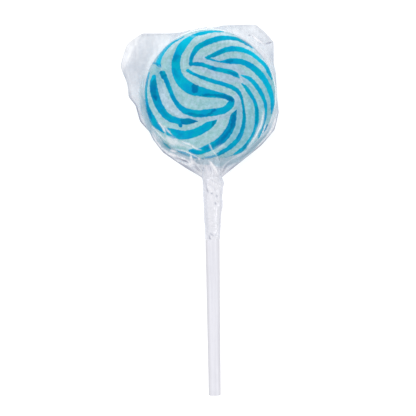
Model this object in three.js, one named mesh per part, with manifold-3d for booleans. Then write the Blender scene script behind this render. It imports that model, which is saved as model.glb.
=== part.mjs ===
/**
 * Swirl lollipop: a pressed disc of striped boiled sugar on a moulded stick, inside a clear film
 * bag that is folded shut over the top of the disc and gathered round the stick below it.
 *
 * Units are millimetres and +Z is up. The lollipop lies on its back on the plane z = 0, with the
 * disc's centre over the origin and the stick running along -Y.
 */
import * as THREE from 'three';
import { mergeVertices } from 'three/addons/utils/BufferGeometryUtils.js';
import Module from 'manifold-3d';

// Candy disc
const CANDY_RADIUS = 23.8;
const CANDY_THICKNESS = 9;
const CANDY_RIM_ROUNDING = 3.4;
const CANDY_SIDES = 72;
const CANDY_RIM_STEPS = 3;
const RIBBON_RELIEF = 0.25;
const RIBBON_STEP = 2.7;

// Stick, tapered by its mould from the buried end to the tip
const STICK_TIP_Y = -108.1;
const STICK_BURIED_Y = -3.5;
const STICK_RIM_DIAMETER = 5.5;
const STICK_TIP_DIAMETER = 4.3;
const STICK_AXIS_X = 0.25;
const STICK_TIP_ROUNDING = 0.35;
const STICK_GATE_RADIUS = 0.7;
const STICK_GATE_DEPTH = 0.6;
const STICK_SIDES = 32;

// Film bag
const CLEARANCE = 0.3;
const FILM_WALL = 0.4;
const BAG_EDGE_HALF_THICKNESS = 0.5;
const BAG_SIDES = 90;
const BAG_RIM_STEPS = 3;
const BAG_SKIRT_STEPS = 3;
const BAG_CORNER_SOFTNESS = 0.25;
const HOLLOW_SIDES = 48;
const BAG_SAG = 0.35;
const SEAM_WAVE_HEIGHT = 1.1;
const PLEAT_DEPTH = 0.45;
const PLEATS_PER_TURN = 20;
const PLEAT_SPREAD = 0.75;
const FUNNEL_HALF_THICKNESS = 3.5;
const FUNNEL_SPREAD = 0.2;
const NECK_SIDES = 24;
const NECK_STEPS = 13;
const NECK_FLUTES = 5;
const NECK_FLUTE_DEPTH = 0.22;
const NECK_TWIST_PER_MM = 0.05;

const MID_HEIGHT = CANDY_THICKNESS / 2 + CLEARANCE + FILM_WALL;
const DOWN_THE_STICK = -Math.PI / 2;

/**
 * The blue ribbons that swirl through the disc, each as stations [x, y, width] along its middle
 * line. The first one is the broad S that turns back on itself at the right of the disc; the
 * wraps and limbs are nested round that turn.
 */
const RIBBONS = {
  broadSweep: [
    [-5.8, 21, 1.5], [-9.2, 18, 2.5], [-11.4, 14, 2.35], [-12.1, 10, 2.6], [-10.9, 6, 3],
    [-7.1, 2.5, 3.6], [-1.5, 0.7, 2.7], [3, -0.1, 1.9], [6, -0.9, 1.6], [7.7, -2, 1.8], [7.5, -3.4, 2.1],
    [6.4, -4.8, 2.1], [4.5, -5.8, 2.1], [0, -6.45, 2.3], [-5, -6.75, 2.2], [-9.4, -5.35, 1.8],
    [-12.5, -2, 1.3], [-14.4, 2.5, 1.3], [-15.6, 5.6, 1.4], [-16.7, 7.8, 1.7],
  ],
  rimWisp: [
    [-17.4, 10.2, 0.3], [-18.3, 11.8, 1.4], [-17.6, 13.9, 1.3], [-16.2, 16, 1.1], [-13.6, 18.5, 0.7],
    [-9, 21.1, 0.2],
  ],
  rimCap: [[-6, 21.3, 0.8], [-3, 22.1, 1.1], [0.5, 22.7, 0.9], [5.3, 22.8, 0.2]],
  leftHook: [
    [-20, 6.6, 1.4], [-20.2, 4, 2.3], [-19.7, 0.5, 2.5], [-18.3, -3.4, 2.4], [-16.6, -6.2, 2.2],
    [-14.5, -8.2, 2.1], [-12, -9.1, 1.95], [-9.8, -9.5, 1.85], [-7.8, -9.45, 1.9], [-4.6, -9.5, 0.2],
  ],
  leftEdge: [
    [-22.3, 8, 0.3], [-23.3, 3, 0.5], [-23.2, -2, 0.8], [-22, -6, 1.7], [-19.8, -10, 2.2],
    [-16.8, -13.3, 0.4],
  ],
  lowerLeaf: [
    [-14.4, -12.6, 0.6], [-11.8, -14.1, 2.6], [-8, -14.2, 2.7], [-4, -13, 2.5], [-0.3, -10.9, 2.3],
    [1.4, -9.9, 1.3], [2.3, -9.2, 0.2],
  ],
  lowerSweep: [
    [9.4, -5.8, 0.3], [8.4, -8, 1.9], [7.6, -11.2, 2.3], [6.5, -13.3, 2.5], [4.9, -15.4, 2.5],
    [2.2, -17.6, 2.4], [-1.5, -19.4, 2.1], [-4.2, -20.2, 1.7], [-7.3, -19.9, 0.6],
  ],
  innerWrap: [
    [-7.8, 8.8, 0.8], [-6, 7.7, 0.75], [0, 5.2, 1], [6, 3.35, 1.05], [10, 1.2, 1.15], [11.5, -1.8, 0.8],
    [12, -5, 0.75], [12.25, -8.5, 1.05], [11.7, -12, 1.2], [10, -16, 1.15], [6.5, -19.3, 1],
    [2.7, -21.5, 0.7],
  ],
  secondWrap: [
    [-6.6, 11.1, 0.9], [-3, 10.95, 0.9], [2, 9.2, 1.2], [7, 8.1, 1.5], [9.6, 7, 1.5], [10.8, 5.9, 0.3],
  ],
  thirdWrap: [
    [11.6, 3.8, 0.3], [13.4, 1.8, 1.1], [16.1, -2.8, 0.95], [16.8, -6.5, 1.2], [16.6, -10.5, 1.2],
    [15.6, -14, 1], [12.5, -18.8, 0.95], [10.6, -20.7, 0.95], [8.8, -21.7, 0.5],
  ],
  fourthWrap: [
    [12, 6.4, 0.4], [14.6, 5.3, 1.15], [17.7, 1.5, 1.25], [19.8, -3.2, 1], [20, -7.6, 0.7],
    [19.2, -11.8, 0.35], [17.6, -15.4, 0.6],
  ],
  upperLimb: [
    [-1.2, 13.3, 0.5], [2, 14.3, 1.4], [6, 16, 1.6], [10, 16.25, 1.6], [14.5, 14.85, 1.3],
    [18.4, 11.9, 1.15], [21.2, 8.5, 0.9], [22.6, 5.5, 0.2],
  ],
  lowerLimb: [
    [-0.8, 13, 0.6], [3.8, 11.8, 0.4], [7.5, 11.9, 1.7], [12, 11.5, 1.65], [17, 8.3, 1.9],
    [20.6, 3.6, 1.75], [22.6, -1.8, 1.15], [22.5, -7, 0.2],
  ],
  crown: [
    [-6.5, 11, 1.1], [-6.4, 13, 1.2], [-4.4, 16.5, 1.6], [0, 18.95, 1.75], [5, 20.25, 1.6],
    [10, 19.75, 0.8], [15.8, 16.8, 0.2],
  ],
};

/** The bag's outer edge [x, y], clockwise from its top left corner to the gathered neck and back. */
const BAG_OUTLINE = [
  [-24.6, 22.6], [-14, 22.4], [-7, 23], [0, 24], [5, 25], [10, 25.2], [17, 25.1], [20, 22.6], [23.2, 18.8],
  [23.2, 11], [23.9, 7.5], [24.2, 0], [24.7, -6.5], [23, -12.8], [18.3, -18.2], [11, -24], [5, -28.6],
  [0.5, -30], [-4.2, -28.9], [-9, -26], [-17, -20.3], [-21.8, -12.8], [-25.2, -9], [-26.8, -3.3],
  [-29.1, -0.2], [-29.6, 4.5], [-31.7, 11], [-30.4, 18.6],
];

/** The gathered neck, from inside the bag to its free end, as stations [y, middle x, half width]. */
const NECK_STATIONS = [
  [-26.4, 0.3, 3.3], [-29.3, 0.5, 3.6], [-31.3, 0.8, 3.85], [-35, 0.7, 3.7], [-39.5, 0.6, 3.7],
  [-44, 0.35, 3.4], [-48, 0.3, 3.25], [-52, 0.25, 3.1],
];

const wasm = await Module();
wasm.setup();

/** Turns a closed geometry into a solid that can be joined and cut. */
function toSolid(geometry) {
  const bare = geometry.clone();
  bare.deleteAttribute('normal');
  bare.deleteAttribute('uv');
  const merged = mergeVertices(bare, 1e-4);
  return new wasm.Manifold(new wasm.Mesh({
    numProp: 3,
    vertProperties: new Float32Array(merged.getAttribute('position').array),
    triVerts: new Uint32Array(merged.getIndex().array),
  }));
}

/** Turns a solid back into a geometry. */
function toGeometry(solid) {
  const { vertProperties, triVerts } = solid.getMesh();
  const geometry = new THREE.BufferGeometry();
  geometry.setAttribute('position', new THREE.BufferAttribute(vertProperties, 3));
  geometry.setIndex(new THREE.BufferAttribute(triVerts, 1));
  geometry.computeVertexNormals();
  return geometry;
}

/** A closed skin through rings of equally many points, each end closed to its ring's middle. */
function closedLoft(rings) {
  const sides = rings[0].length;
  const points = rings.flat();
  const faces = [];
  for (let ring = 0; ring + 1 < rings.length; ring++) {
    for (let side = 0; side < sides; side++) {
      const a = ring * sides + side;
      const b = ring * sides + (side + 1) % sides;
      faces.push(a, b, a + sides, b, b + sides, a + sides);
    }
  }
  for (const ring of [0, rings.length - 1]) {
    const middle = points.length;
    points.push(rings[ring].reduce((sum, point) => sum.add(point), new THREE.Vector3()).divideScalar(sides));
    for (let side = 0; side < sides; side++) {
      const a = ring * sides + side;
      const b = ring * sides + (side + 1) % sides;
      faces.push(middle, ...(ring === 0 ? [b, a] : [a, b]));
    }
  }
  const geometry = new THREE.BufferGeometry().setFromPoints(points);
  geometry.setIndex(faces);
  return geometry;
}

/** A round disc with a rounded rim, grown outwards by `grow` on every side. */
function discGeometry(grow, sides) {
  const rounding = CANDY_RIM_ROUNDING + grow;
  const flatRadius = CANDY_RADIUS - CANDY_RIM_ROUNDING;
  const rimHeight = CANDY_THICKNESS / 2 - CANDY_RIM_ROUNDING;
  const profile = [new THREE.Vector2(0, -CANDY_THICKNESS / 2 - grow)];
  for (const side of [-1, 1]) {
    for (let step = 0; step <= CANDY_RIM_STEPS; step++) {
      const turn = (side < 0 ? step : CANDY_RIM_STEPS - step) / CANDY_RIM_STEPS * Math.PI / 2;
      const reach = rounding * Math.sin(turn);
      const height = rimHeight + rounding * Math.cos(turn);
      profile.push(new THREE.Vector2(flatRadius + reach, side * height));
    }
  }
  profile.push(new THREE.Vector2(0, CANDY_THICKNESS / 2 + grow));
  return new THREE.LatheGeometry(profile, sides).rotateX(Math.PI / 2);
}

/** The outline of one ribbon, from its stations [x, y, width]. */
function ribbonShape(stations) {
  const curve = new THREE.CatmullRomCurve3(stations.map(([x, y, width]) => new THREE.Vector3(x, y, width)));
  const steps = Math.max(4, Math.round(curve.getLength() / RIBBON_STEP));
  const leftEdge = [];
  const rightEdge = [];
  for (let step = 0; step <= steps; step++) {
    const station = curve.getPoint(step / steps);
    const along = curve.getTangent(step / steps).setZ(0).normalize();
    const across = new THREE.Vector2(-along.y, along.x).multiplyScalar(station.z / 2);
    leftEdge.push(new THREE.Vector2(station.x, station.y).add(across));
    rightEdge.unshift(new THREE.Vector2(station.x, station.y).sub(across));
  }
  return new THREE.Shape([...leftEdge, ...rightEdge]);
}

/** The stick, grown outwards by `grow`; a grown stick is the clearance hole round it. */
function stickGeometry(grow) {
  const buriedRadius = STICK_RIM_DIAMETER / 2 + grow;
  const tipRadius = STICK_TIP_DIAMETER / 2 + grow;
  const rimY = -CANDY_RADIUS;
  const profile = [
    [0, STICK_TIP_Y - grow + STICK_GATE_DEPTH],
    [STICK_GATE_RADIUS, STICK_TIP_Y - grow],
    [tipRadius - STICK_TIP_ROUNDING, STICK_TIP_Y - grow],
    [tipRadius, STICK_TIP_Y - grow + STICK_TIP_ROUNDING],
    [buriedRadius, rimY],
    [buriedRadius, STICK_BURIED_Y + grow],
    [0, STICK_BURIED_Y + grow],
  ];
  const points = profile.map(([radius, y]) => new THREE.Vector2(radius, y));
  return new THREE.LatheGeometry(points, STICK_SIDES).translate(STICK_AXIS_X, 0, 0);
}

/**
 * The candy: the rounded disc, with ribbons that run through its whole thickness and stand slightly
 * proud of both faces and the rim, less the stick's socket.
 */
function candySolid() {
  const throughDisc = { depth: CANDY_THICKNESS, bevelEnabled: false };
  const ribbons = Object.values(RIBBONS)
    .map((stations) => toSolid(new THREE.ExtrudeGeometry(ribbonShape(stations), throughDisc)))
    .reduce((joined, ribbon) => joined.add(ribbon))
    .translate([0, 0, -CANDY_THICKNESS / 2])
    .intersect(toSolid(discGeometry(0, CANDY_SIDES)));
  return toSolid(discGeometry(-RIBBON_RELIEF, CANDY_SIDES))
    .add(ribbons)
    .subtract(toSolid(stickGeometry(CLEARANCE)));
}

/** A bell curve of height 1 round an angle. */
function bell(angle, centre, spread) {
  const away = Math.atan2(Math.sin(angle - centre), Math.cos(angle - centre)) / spread;
  return Math.exp(-away * away);
}

/** How far the bag's seam rises or falls from the disc's middle plane, at one angle. */
function seamWave(angle) {
  return SEAM_WAVE_HEIGHT * (0.6 * Math.sin(3 * angle + 0.8) + 0.4 * Math.sin(7 * angle));
}

/** How free the film is at one radius: 0 where it lies on the rim, 1 well outside it. */
function freedom(radius) {
  const freeReach = 8;
  return THREE.MathUtils.clamp((radius - CANDY_RADIUS) / freeReach, 0, 1);
}

/**
 * One half section of the bag at one angle, as [radius, half thickness, share of the way to the
 * seam]: flat over the face, round with the rim, then drawn straight to the seam with a slight sag.
 */
function bagSection(angle, seamRadius) {
  const offset = CLEARANCE + FILM_WALL;
  const rounding = CANDY_RIM_ROUNDING + offset;
  const flatRadius = CANDY_RADIUS - CANDY_RIM_ROUNDING;
  const rimHeight = CANDY_THICKNESS / 2 - CANDY_RIM_ROUNDING;
  const atStick = bell(angle, DOWN_THE_STICK, FUNNEL_SPREAD);
  const seamHalf = BAG_EDGE_HALF_THICKNESS + (FUNNEL_HALF_THICKNESS - BAG_EDGE_HALF_THICKNESS) * atStick;
  const outwards = new THREE.Vector2(seamRadius - flatRadius, seamHalf - rimHeight);
  const leaves = Math.atan2(outwards.y, outwards.x) + Math.acos(Math.min(1, rounding / outwards.length()));
  const section = [];
  for (let step = 0; step <= BAG_RIM_STEPS; step++) {
    const turn = THREE.MathUtils.lerp(Math.PI / 2, leaves, step / BAG_RIM_STEPS);
    section.push([flatRadius + rounding * Math.cos(turn), rimHeight + rounding * Math.sin(turn), 0]);
  }
  const [leavesRadius, leavesHalf] = section[BAG_RIM_STEPS];
  for (let step = 1; step <= BAG_SKIRT_STEPS; step++) {
    const share = step / BAG_SKIRT_STEPS;
    const straight = THREE.MathUtils.lerp(leavesHalf, seamHalf, share);
    const sag = 1 - BAG_SAG * Math.sin(Math.PI * share) * freedom(seamRadius) * (1 - atStick);
    const pleat = PLEAT_DEPTH * bell(angle, DOWN_THE_STICK, PLEAT_SPREAD) * Math.cos(PLEATS_PER_TURN * angle);
    section.push([
      THREE.MathUtils.lerp(leavesRadius, seamRadius, share),
      straight * sag + pleat * Math.sin(Math.PI * share),
      share,
    ]);
  }
  return section;
}

/** The flat part of the bag: both film sheets, closed along the seam. */
function bagGeometry() {
  const tightestSeam = CANDY_RADIUS + CLEARANCE + 2 * FILM_WALL;
  const corners = BAG_OUTLINE.map(([x, y]) => new THREE.Vector3(x, y, 0));
  const outline = new THREE.CatmullRomCurve3(corners, true, 'catmullrom', BAG_CORNER_SOFTNESS);
  const seam = outline.getSpacedPoints(BAG_SIDES).slice(0, BAG_SIDES);
  const spokes = seam.map((point) => {
    const angle = Math.atan2(point.y, point.x);
    return { angle, section: bagSection(angle, Math.max(tightestSeam, point.length())) };
  });
  const levels = spokes[0].section.length;
  const ringAt = (level, side) => spokes.map(({ angle, section }) => {
    const [radius, half, share] = section[level];
    const lift = seamWave(angle) * share * share * freedom(radius);
    return new THREE.Vector3(radius * Math.cos(angle), radius * Math.sin(angle), side * half + lift);
  });
  const rings = [];
  for (let level = 0; level < levels; level++) rings.push(ringAt(level, 1));
  for (let level = levels - 1; level >= 0; level--) rings.push(ringAt(level, -1));
  return closedLoft(rings);
}

/** The neck: the bag's mouth gathered round the stick in soft, slightly twisted flutes. */
function neckGeometry() {
  const curve = new THREE.CatmullRomCurve3(
    NECK_STATIONS.map(([y, middleX, halfWidth]) => new THREE.Vector3(middleX, y, halfWidth)));
  const tightest = NECK_STATIONS.at(-1)[2];
  const rings = [];
  for (let step = 0; step <= NECK_STEPS; step++) {
    const { x: middleX, y, z: halfWidth } = curve.getPoint(step / NECK_STEPS);
    const fade = THREE.MathUtils.clamp((halfWidth - tightest) / NECK_FLUTE_DEPTH, 0, 1);
    rings.push(Array.from({ length: NECK_SIDES }, (_, side) => {
      const turn = side / NECK_SIDES * 2 * Math.PI;
      const flute = NECK_FLUTE_DEPTH * fade * Math.cos(NECK_FLUTES * (turn + NECK_TWIST_PER_MM * y));
      const reach = halfWidth + flute;
      return new THREE.Vector3(middleX + reach * Math.cos(turn), y, reach * Math.sin(turn));
    }));
  }
  return closedLoft(rings);
}

/** The wrapper: bag and neck in one, hollowed for the candy and open round the stick. */
function wrapperSolid() {
  const hollow = discGeometry(CLEARANCE, HOLLOW_SIDES);
  const widen = 1 / Math.cos(Math.PI / HOLLOW_SIDES);
  return toSolid(bagGeometry())
    .add(toSolid(neckGeometry()))
    .subtract(toSolid(hollow.scale(widen, widen, 1)))
    .subtract(toSolid(stickGeometry(CLEARANCE)));
}

const candyFinish = new THREE.MeshStandardMaterial({ color: 0x63bed2, roughness: 0.28, metalness: 0 });
const stickFinish = new THREE.MeshStandardMaterial({ color: 0xe9eaf0, roughness: 0.45, metalness: 0 });
const filmFinish = new THREE.MeshStandardMaterial({
  color: 0xe4ecf6, roughness: 0.12, metalness: 0, transparent: true, opacity: 0.35,
});

const pieces = {
  candy_disc: [toGeometry(candySolid()), candyFinish],
  stick: [toGeometry(toSolid(stickGeometry(0))), stickFinish],
  wrapper: [toGeometry(wrapperSolid()), filmFinish],
};

const lollipop = new THREE.Group();
lollipop.name = 'swirl_lollipop';
for (const [name, [geometry, finish]] of Object.entries(pieces)) {
  const mesh = new THREE.Mesh(geometry, finish);
  mesh.name = name;
  mesh.position.z = MID_HEIGHT;
  lollipop.add(mesh);
}

export default lollipop;
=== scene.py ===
"""Swirl lollipop: a pressed disc of striped boiled sugar on a moulded stick, in a clear film bag.

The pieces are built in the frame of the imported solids: +Z is up, the disc's centre is over the
origin and the stick runs along -Y. Sizes are in millimetres, and MM turns them into metres.
"""

from __future__ import annotations

import logging
import math
from abc import ABC, abstractmethod
from dataclasses import dataclass, field
from enum import Enum
from typing import ClassVar

import bpy
import numpy as np
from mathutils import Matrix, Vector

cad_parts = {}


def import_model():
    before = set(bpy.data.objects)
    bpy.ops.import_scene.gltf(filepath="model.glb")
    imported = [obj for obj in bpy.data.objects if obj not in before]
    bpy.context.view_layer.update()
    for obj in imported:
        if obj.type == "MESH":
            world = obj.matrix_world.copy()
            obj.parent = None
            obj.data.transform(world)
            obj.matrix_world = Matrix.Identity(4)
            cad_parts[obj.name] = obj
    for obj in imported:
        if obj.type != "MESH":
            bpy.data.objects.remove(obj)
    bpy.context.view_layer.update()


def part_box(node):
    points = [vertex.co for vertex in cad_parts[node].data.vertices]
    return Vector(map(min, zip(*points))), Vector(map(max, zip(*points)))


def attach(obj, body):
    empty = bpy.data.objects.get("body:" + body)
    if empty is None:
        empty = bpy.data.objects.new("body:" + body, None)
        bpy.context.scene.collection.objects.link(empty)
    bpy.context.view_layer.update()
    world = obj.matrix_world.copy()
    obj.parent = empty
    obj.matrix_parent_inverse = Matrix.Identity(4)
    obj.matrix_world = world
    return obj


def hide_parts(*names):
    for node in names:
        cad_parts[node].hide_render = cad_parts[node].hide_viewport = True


MM = 0.001
TINY = 1e-9
ROOT = "root"

Colour = tuple[float, float, float]
Array = np.ndarray
Marks = dict[str, Array]
Stations = tuple[tuple[float, ...], ...]
Socket = bpy.types.NodeSocket

log = logging.getLogger("swirl_lollipop")


# ---- Lines, fields and meshes ----


def ease(low: float, high: float, value: Array) -> Array:
    """A smooth step.

    Args:
        low: Where the step starts, with 0 below it.
        high: Where the step ends, with 1 above it.
        value: The values to pass through the step.

    Returns:
        The eased values, from 0 to 1.
    """
    share = np.clip((value - low) / (high - low), 0.0, 1.0)
    return share * share * (3.0 - 2.0 * share)


def through(start: Array, end: Array, leave: Array, arrive: Array, steps: int) -> Array:
    """One span of a smooth line between two stations.

    Args:
        start: The station where the span starts.
        end: The station where it ends.
        leave: The direction and pace at the start.
        arrive: The direction and pace at the end.
        steps: How many points the span gives.

    Returns:
        The points from start up to, but not with, end.
    """
    t = (np.arange(steps) / steps)[:, None]
    square = 3.0 * (end - start) - 2.0 * leave - arrive
    cube = 2.0 * (start - end) + leave + arrive
    return start + t * (leave + t * (square + t * cube))


def smooth_line(stations: Array, steps: int) -> Array:
    """A centripetal line through stations, which neither loops nor overshoots between them.

    Args:
        stations: The stations, one row each.
        steps: How many points each span gives.

    Returns:
        The line's points, with both ends.
    """
    lead_in = 2.0 * stations[0] - stations[1]
    lead_out = 2.0 * stations[-1] - stations[-2]
    padded = np.vstack([lead_in, stations, lead_out])
    spans = []
    for before, start, end, after in zip(padded, padded[1:], padded[2:], padded[3:]):
        gap_in, gap, gap_out = (
            math.sqrt(np.linalg.norm(b - a)) for a, b in ((before, start), (start, end), (end, after))
        )
        step = (end - start) / gap
        leave = gap * ((start - before) / gap_in - (end - before) / (gap_in + gap) + step)
        arrive = gap * (step - (after - start) / (gap + gap_out) + (after - end) / gap_out)
        spans.append(through(start, end, leave, arrive, steps))
    return np.vstack([*spans, stations[-1:]])


def evenly(line: Array, shares: Array) -> Array:
    """Points at given shares of a line's length.

    Args:
        line: The line's points, one row each.
        shares: Shares of the length, from 0 to 1.

    Returns:
        One row for each share.
    """
    reached = np.concatenate([[0.0], np.cumsum(np.linalg.norm(np.diff(line, axis=0), axis=1))])
    wanted = shares * reached[-1]
    return np.stack([np.interp(wanted, reached, column) for column in line.T], axis=-1)


def line_distance(line: Array, x: Array, y: Array) -> tuple[Array, Array]:
    """How far points lie from a line in the plane.

    Args:
        line: The line's points, each x, y and optionally one more value carried along it.
        x, y: The points' places.

    Returns:
        The distance, and the carried value at the nearest place, or the share of the line's points
        where it carries none.
    """
    if line.shape[1] < 3:
        line = np.column_stack([line, np.linspace(0.0, 1.0, len(line))])
    nearest = np.full(x.shape, np.inf)
    carried = np.zeros(x.shape)
    for start, end in zip(line, line[1:]):
        along = end[:2] - start[:2]
        length_squared = max(float(along @ along), TINY)
        walked = (x - start[0]) * along[0] + (y - start[1]) * along[1]
        share = np.clip(walked / length_squared, 0.0, 1.0)
        away = np.hypot(x - start[0] - share * along[0], y - start[1] - share * along[1])
        closer = away < nearest
        nearest = np.where(closer, away, nearest)
        carried = np.where(closer, start[2] + share * (end[2] - start[2]), carried)
    return nearest, carried


@dataclass(frozen=True)
class Ripples:
    """A soft random field: a few seeded waves that cross each other."""

    size: float  # the typical distance between two crests
    seed: int  # the seed of the random draw
    waves: int = 9  # how many waves are added up
    shortest: float = 0.7  # the shortest wave, as a share of the size
    longest: float = 1.6  # the longest wave, as a share of the size

    def at(self, x: Array, y: Array) -> Array:
        """The field at points.

        Args:
            x, y: The points' places.

        Returns:
            Values from about -1 to 1.
        """
        draw = np.random.default_rng(self.seed)
        total = np.zeros(x.shape)
        for _ in range(self.waves):
            heading, phase = draw.uniform(0.0, 2.0 * math.pi, 2)
            pace = 2.0 * math.pi / (self.size * draw.uniform(self.shortest, self.longest))
            total += np.sin(pace * (x * math.cos(heading) + y * math.sin(heading)) + phase)
        return total / math.sqrt(2.0 * self.waves)


@dataclass(frozen=True)
class Facets:
    """A field of flat facets with sharp folds between them, as crumpled film has."""

    size: float  # the width of a facet
    seed: int  # the seed of the random draw
    warp: float = 0.35  # how far the folds are bent out of straight, as a share of the size
    bend_size: float = 2.3  # the distance between two such bends, as a share of the size
    cells: int = 64  # how many corners are drawn each way before they repeat

    def at(self, x: Array, y: Array) -> Array:
        """The field at points.

        Args:
            x, y: The points' places.

        Returns:
            Values from -1 to 1.
        """
        heights = np.random.default_rng(self.seed).uniform(-1.0, 1.0, (self.cells, self.cells))
        bend = self.size * self.warp
        bent_x = x + bend * Ripples(self.bend_size * self.size, self.seed + 1).at(x, y)
        bent_y = y + bend * Ripples(self.bend_size * self.size, self.seed + 2).at(x, y)
        skew = (bent_x + bent_y) * (math.sqrt(3.0) - 1.0) / 2.0
        u, v = (bent_x + skew) / self.size, (bent_y + skew) / self.size
        column, row = np.floor(u).astype(int), np.floor(v).astype(int)
        u, v = u - column, v - row
        column, row = column % self.cells, row % self.cells
        next_column, next_row = (column + 1) % self.cells, (row + 1) % self.cells
        near, far = heights[column, row], heights[next_column, next_row]
        side = np.where(u > v, heights[next_column, row], heights[column, next_row])
        long_way, short_way = np.maximum(u, v), np.minimum(u, v)
        return near * (1.0 - long_way) + side * (long_way - short_way) + far * short_way


def quads_between(numbers: Array, closed: bool = False) -> Array:
    """The quads between rows of vertices.

    Args:
        numbers: The vertices' numbers, one row each.
        closed: Whether each row closes on itself.

    Returns:
        One row of four vertex numbers for each quad.
    """
    if closed:
        numbers = np.column_stack([numbers, numbers[:, :1]])
    corners = (numbers[:-1, :-1], numbers[:-1, 1:], numbers[1:, 1:], numbers[1:, :-1])
    return np.stack(corners, axis=-1).reshape(-1, 4)


def make_piece(name: str, points: Array, faces: list, marks: Marks) -> bpy.types.Object:
    """A smooth-shaded mesh object with per-vertex marks that its material reads.

    Args:
        name: The piece's name.
        points: The vertices in millimetres, one row each.
        faces: The faces, each a list of vertex numbers.
        marks: The named values for each vertex.

    Returns:
        The object, linked to the scene.
    """
    mesh = bpy.data.meshes.new(name)
    mesh.from_pydata((points * MM).tolist(), [], faces)
    mesh.validate()
    mesh.polygons.foreach_set("use_smooth", np.ones(len(mesh.polygons), bool))
    for mark, values in marks.items():
        attribute = mesh.attributes.new(mark, "FLOAT", "POINT")
        attribute.data.foreach_set("value", np.asarray(values, np.float32).ravel())
    mesh.update()
    piece = bpy.data.objects.new(name, mesh)
    bpy.context.scene.collection.objects.link(piece)
    return piece


# ---- Finishes ----



class Tone(Enum):
    """How light a ribbon's blue is."""

    DEEP = 0.28
    BLUE = 0.5
    BRIGHT = 0.72
    CYAN = 0.95


def from_screen(red: int, green: int, blue: int) -> Colour:
    """A screen colour from 0 to 255 as the linear light that shaders take."""
    levels = [level / 255 for level in (red, green, blue)]
    return tuple(c / 12.92 if c <= 0.04045 else ((c + 0.055) / 1.055) ** 2.4 for c in levels)


class Nodes:
    """A short way to place shader nodes and join them."""

    def __init__(self, tree: bpy.types.NodeTree) -> None:
        """Keeps the tree that the nodes go into."""
        self.tree = tree

    def add(self, kind: str, settings: dict | None = None, **inputs: object) -> bpy.types.Node:
        """Places one node.

        Args:
            kind: The node's type.
            settings: The node's own properties.
            **inputs: What each input holds or is fed by, with _ for a space in its name.

        Returns:
            The new node.
        """
        node = self.tree.nodes.new(kind)
        for name, value in (settings or {}).items():
            setattr(node, name, value)
        for name, value in inputs.items():
            self.feed(node.inputs[name.replace("_", " ")], value)
        return node

    def feed(self, socket: Socket, value: object) -> None:
        """Joins a socket to another, or sets what it holds.

        Args:
            socket: The socket that takes the value.
            value: The value, or the socket that it comes from.
        """
        if isinstance(value, Socket):
            self.tree.links.new(value, socket)
        elif isinstance(value, tuple) and len(value) == 3 and socket.type == "RGBA":
            socket.default_value = (*value, 1.0)
        else:
            socket.default_value = value

    def mark(self, name: str) -> Socket:
        """The values of one of the mesh's marks."""
        return self.add("ShaderNodeAttribute", {"attribute_name": name}).outputs["Fac"]

    def maths(self, operation: str, first: object, second: object, clamp: bool = False) -> Socket:
        """Works out one sum from two values.

        Args:
            operation: The Math node's operation.
            first: The first value or socket.
            second: The second value or socket.
            clamp: Whether the result is kept from 0 to 1.

        Returns:
            The result's socket.
        """
        node = self.add("ShaderNodeMath", {"operation": operation, "use_clamp": clamp})
        self.feed(node.inputs[0], first)
        self.feed(node.inputs[1], second)
        return node.outputs[0]

    def plus(self, base: object, value: object, weight: float, clamp: bool = False) -> Socket:
        """Adds a share of one value to another.

        Args:
            base: The value or socket that is added to.
            value: The socket of what is added.
            weight: How much of it is added.
            clamp: Whether the result is kept from 0 to 1.

        Returns:
            The result's socket.
        """
        return self.maths("ADD", base, self.maths("MULTIPLY", value, weight), clamp)

    def spread(self, value: object, low: float, high: float, to_low: float, to_high: float) -> Socket:
        """Maps a value's range smoothly onto another range, and stops at its ends.

        Args:
            value: The value or socket.
            low: The value that becomes to_low.
            high: The value that becomes to_high.
            to_low: The result at low.
            to_high: The result at high.

        Returns:
            The result's socket.
        """
        node = self.add(
            "ShaderNodeMapRange", {"interpolation_type": "SMOOTHSTEP"},
            Value=value, From_Min=low, From_Max=high, To_Min=to_low, To_Max=to_high,
        )
        return node.outputs["Result"]

    def shaded(self, colour: object, value: object, strength: float) -> Socket:
        """A colour made lighter and darker by a value round 0.

        Args:
            colour: The colour or socket.
            value: The value or socket.
            strength: How much a value of 1 lightens it.

        Returns:
            The shaded colour's socket.
        """
        level = self.plus(1.0, value, strength)
        grey = self.add("ShaderNodeCombineColor", Red=level, Green=level, Blue=level)
        return self.blend(1.0, colour, grey.outputs[0], "MULTIPLY")

    def blend(self, share: object, first: object, second: object, way: str = "MIX") -> Socket:
        """Mixes two colours.

        Args:
            share: How much of the second colour shows.
            first: The first colour or socket.
            second: The second colour or socket.
            way: The blend type.

        Returns:
            The mixed colour's socket.
        """
        node = self.add("ShaderNodeMix", {"data_type": "RGBA", "blend_type": way})
        self.feed(node.inputs[0], share)
        self.feed(node.inputs[6], first)
        self.feed(node.inputs[7], second)
        return node.outputs[2]


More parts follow.
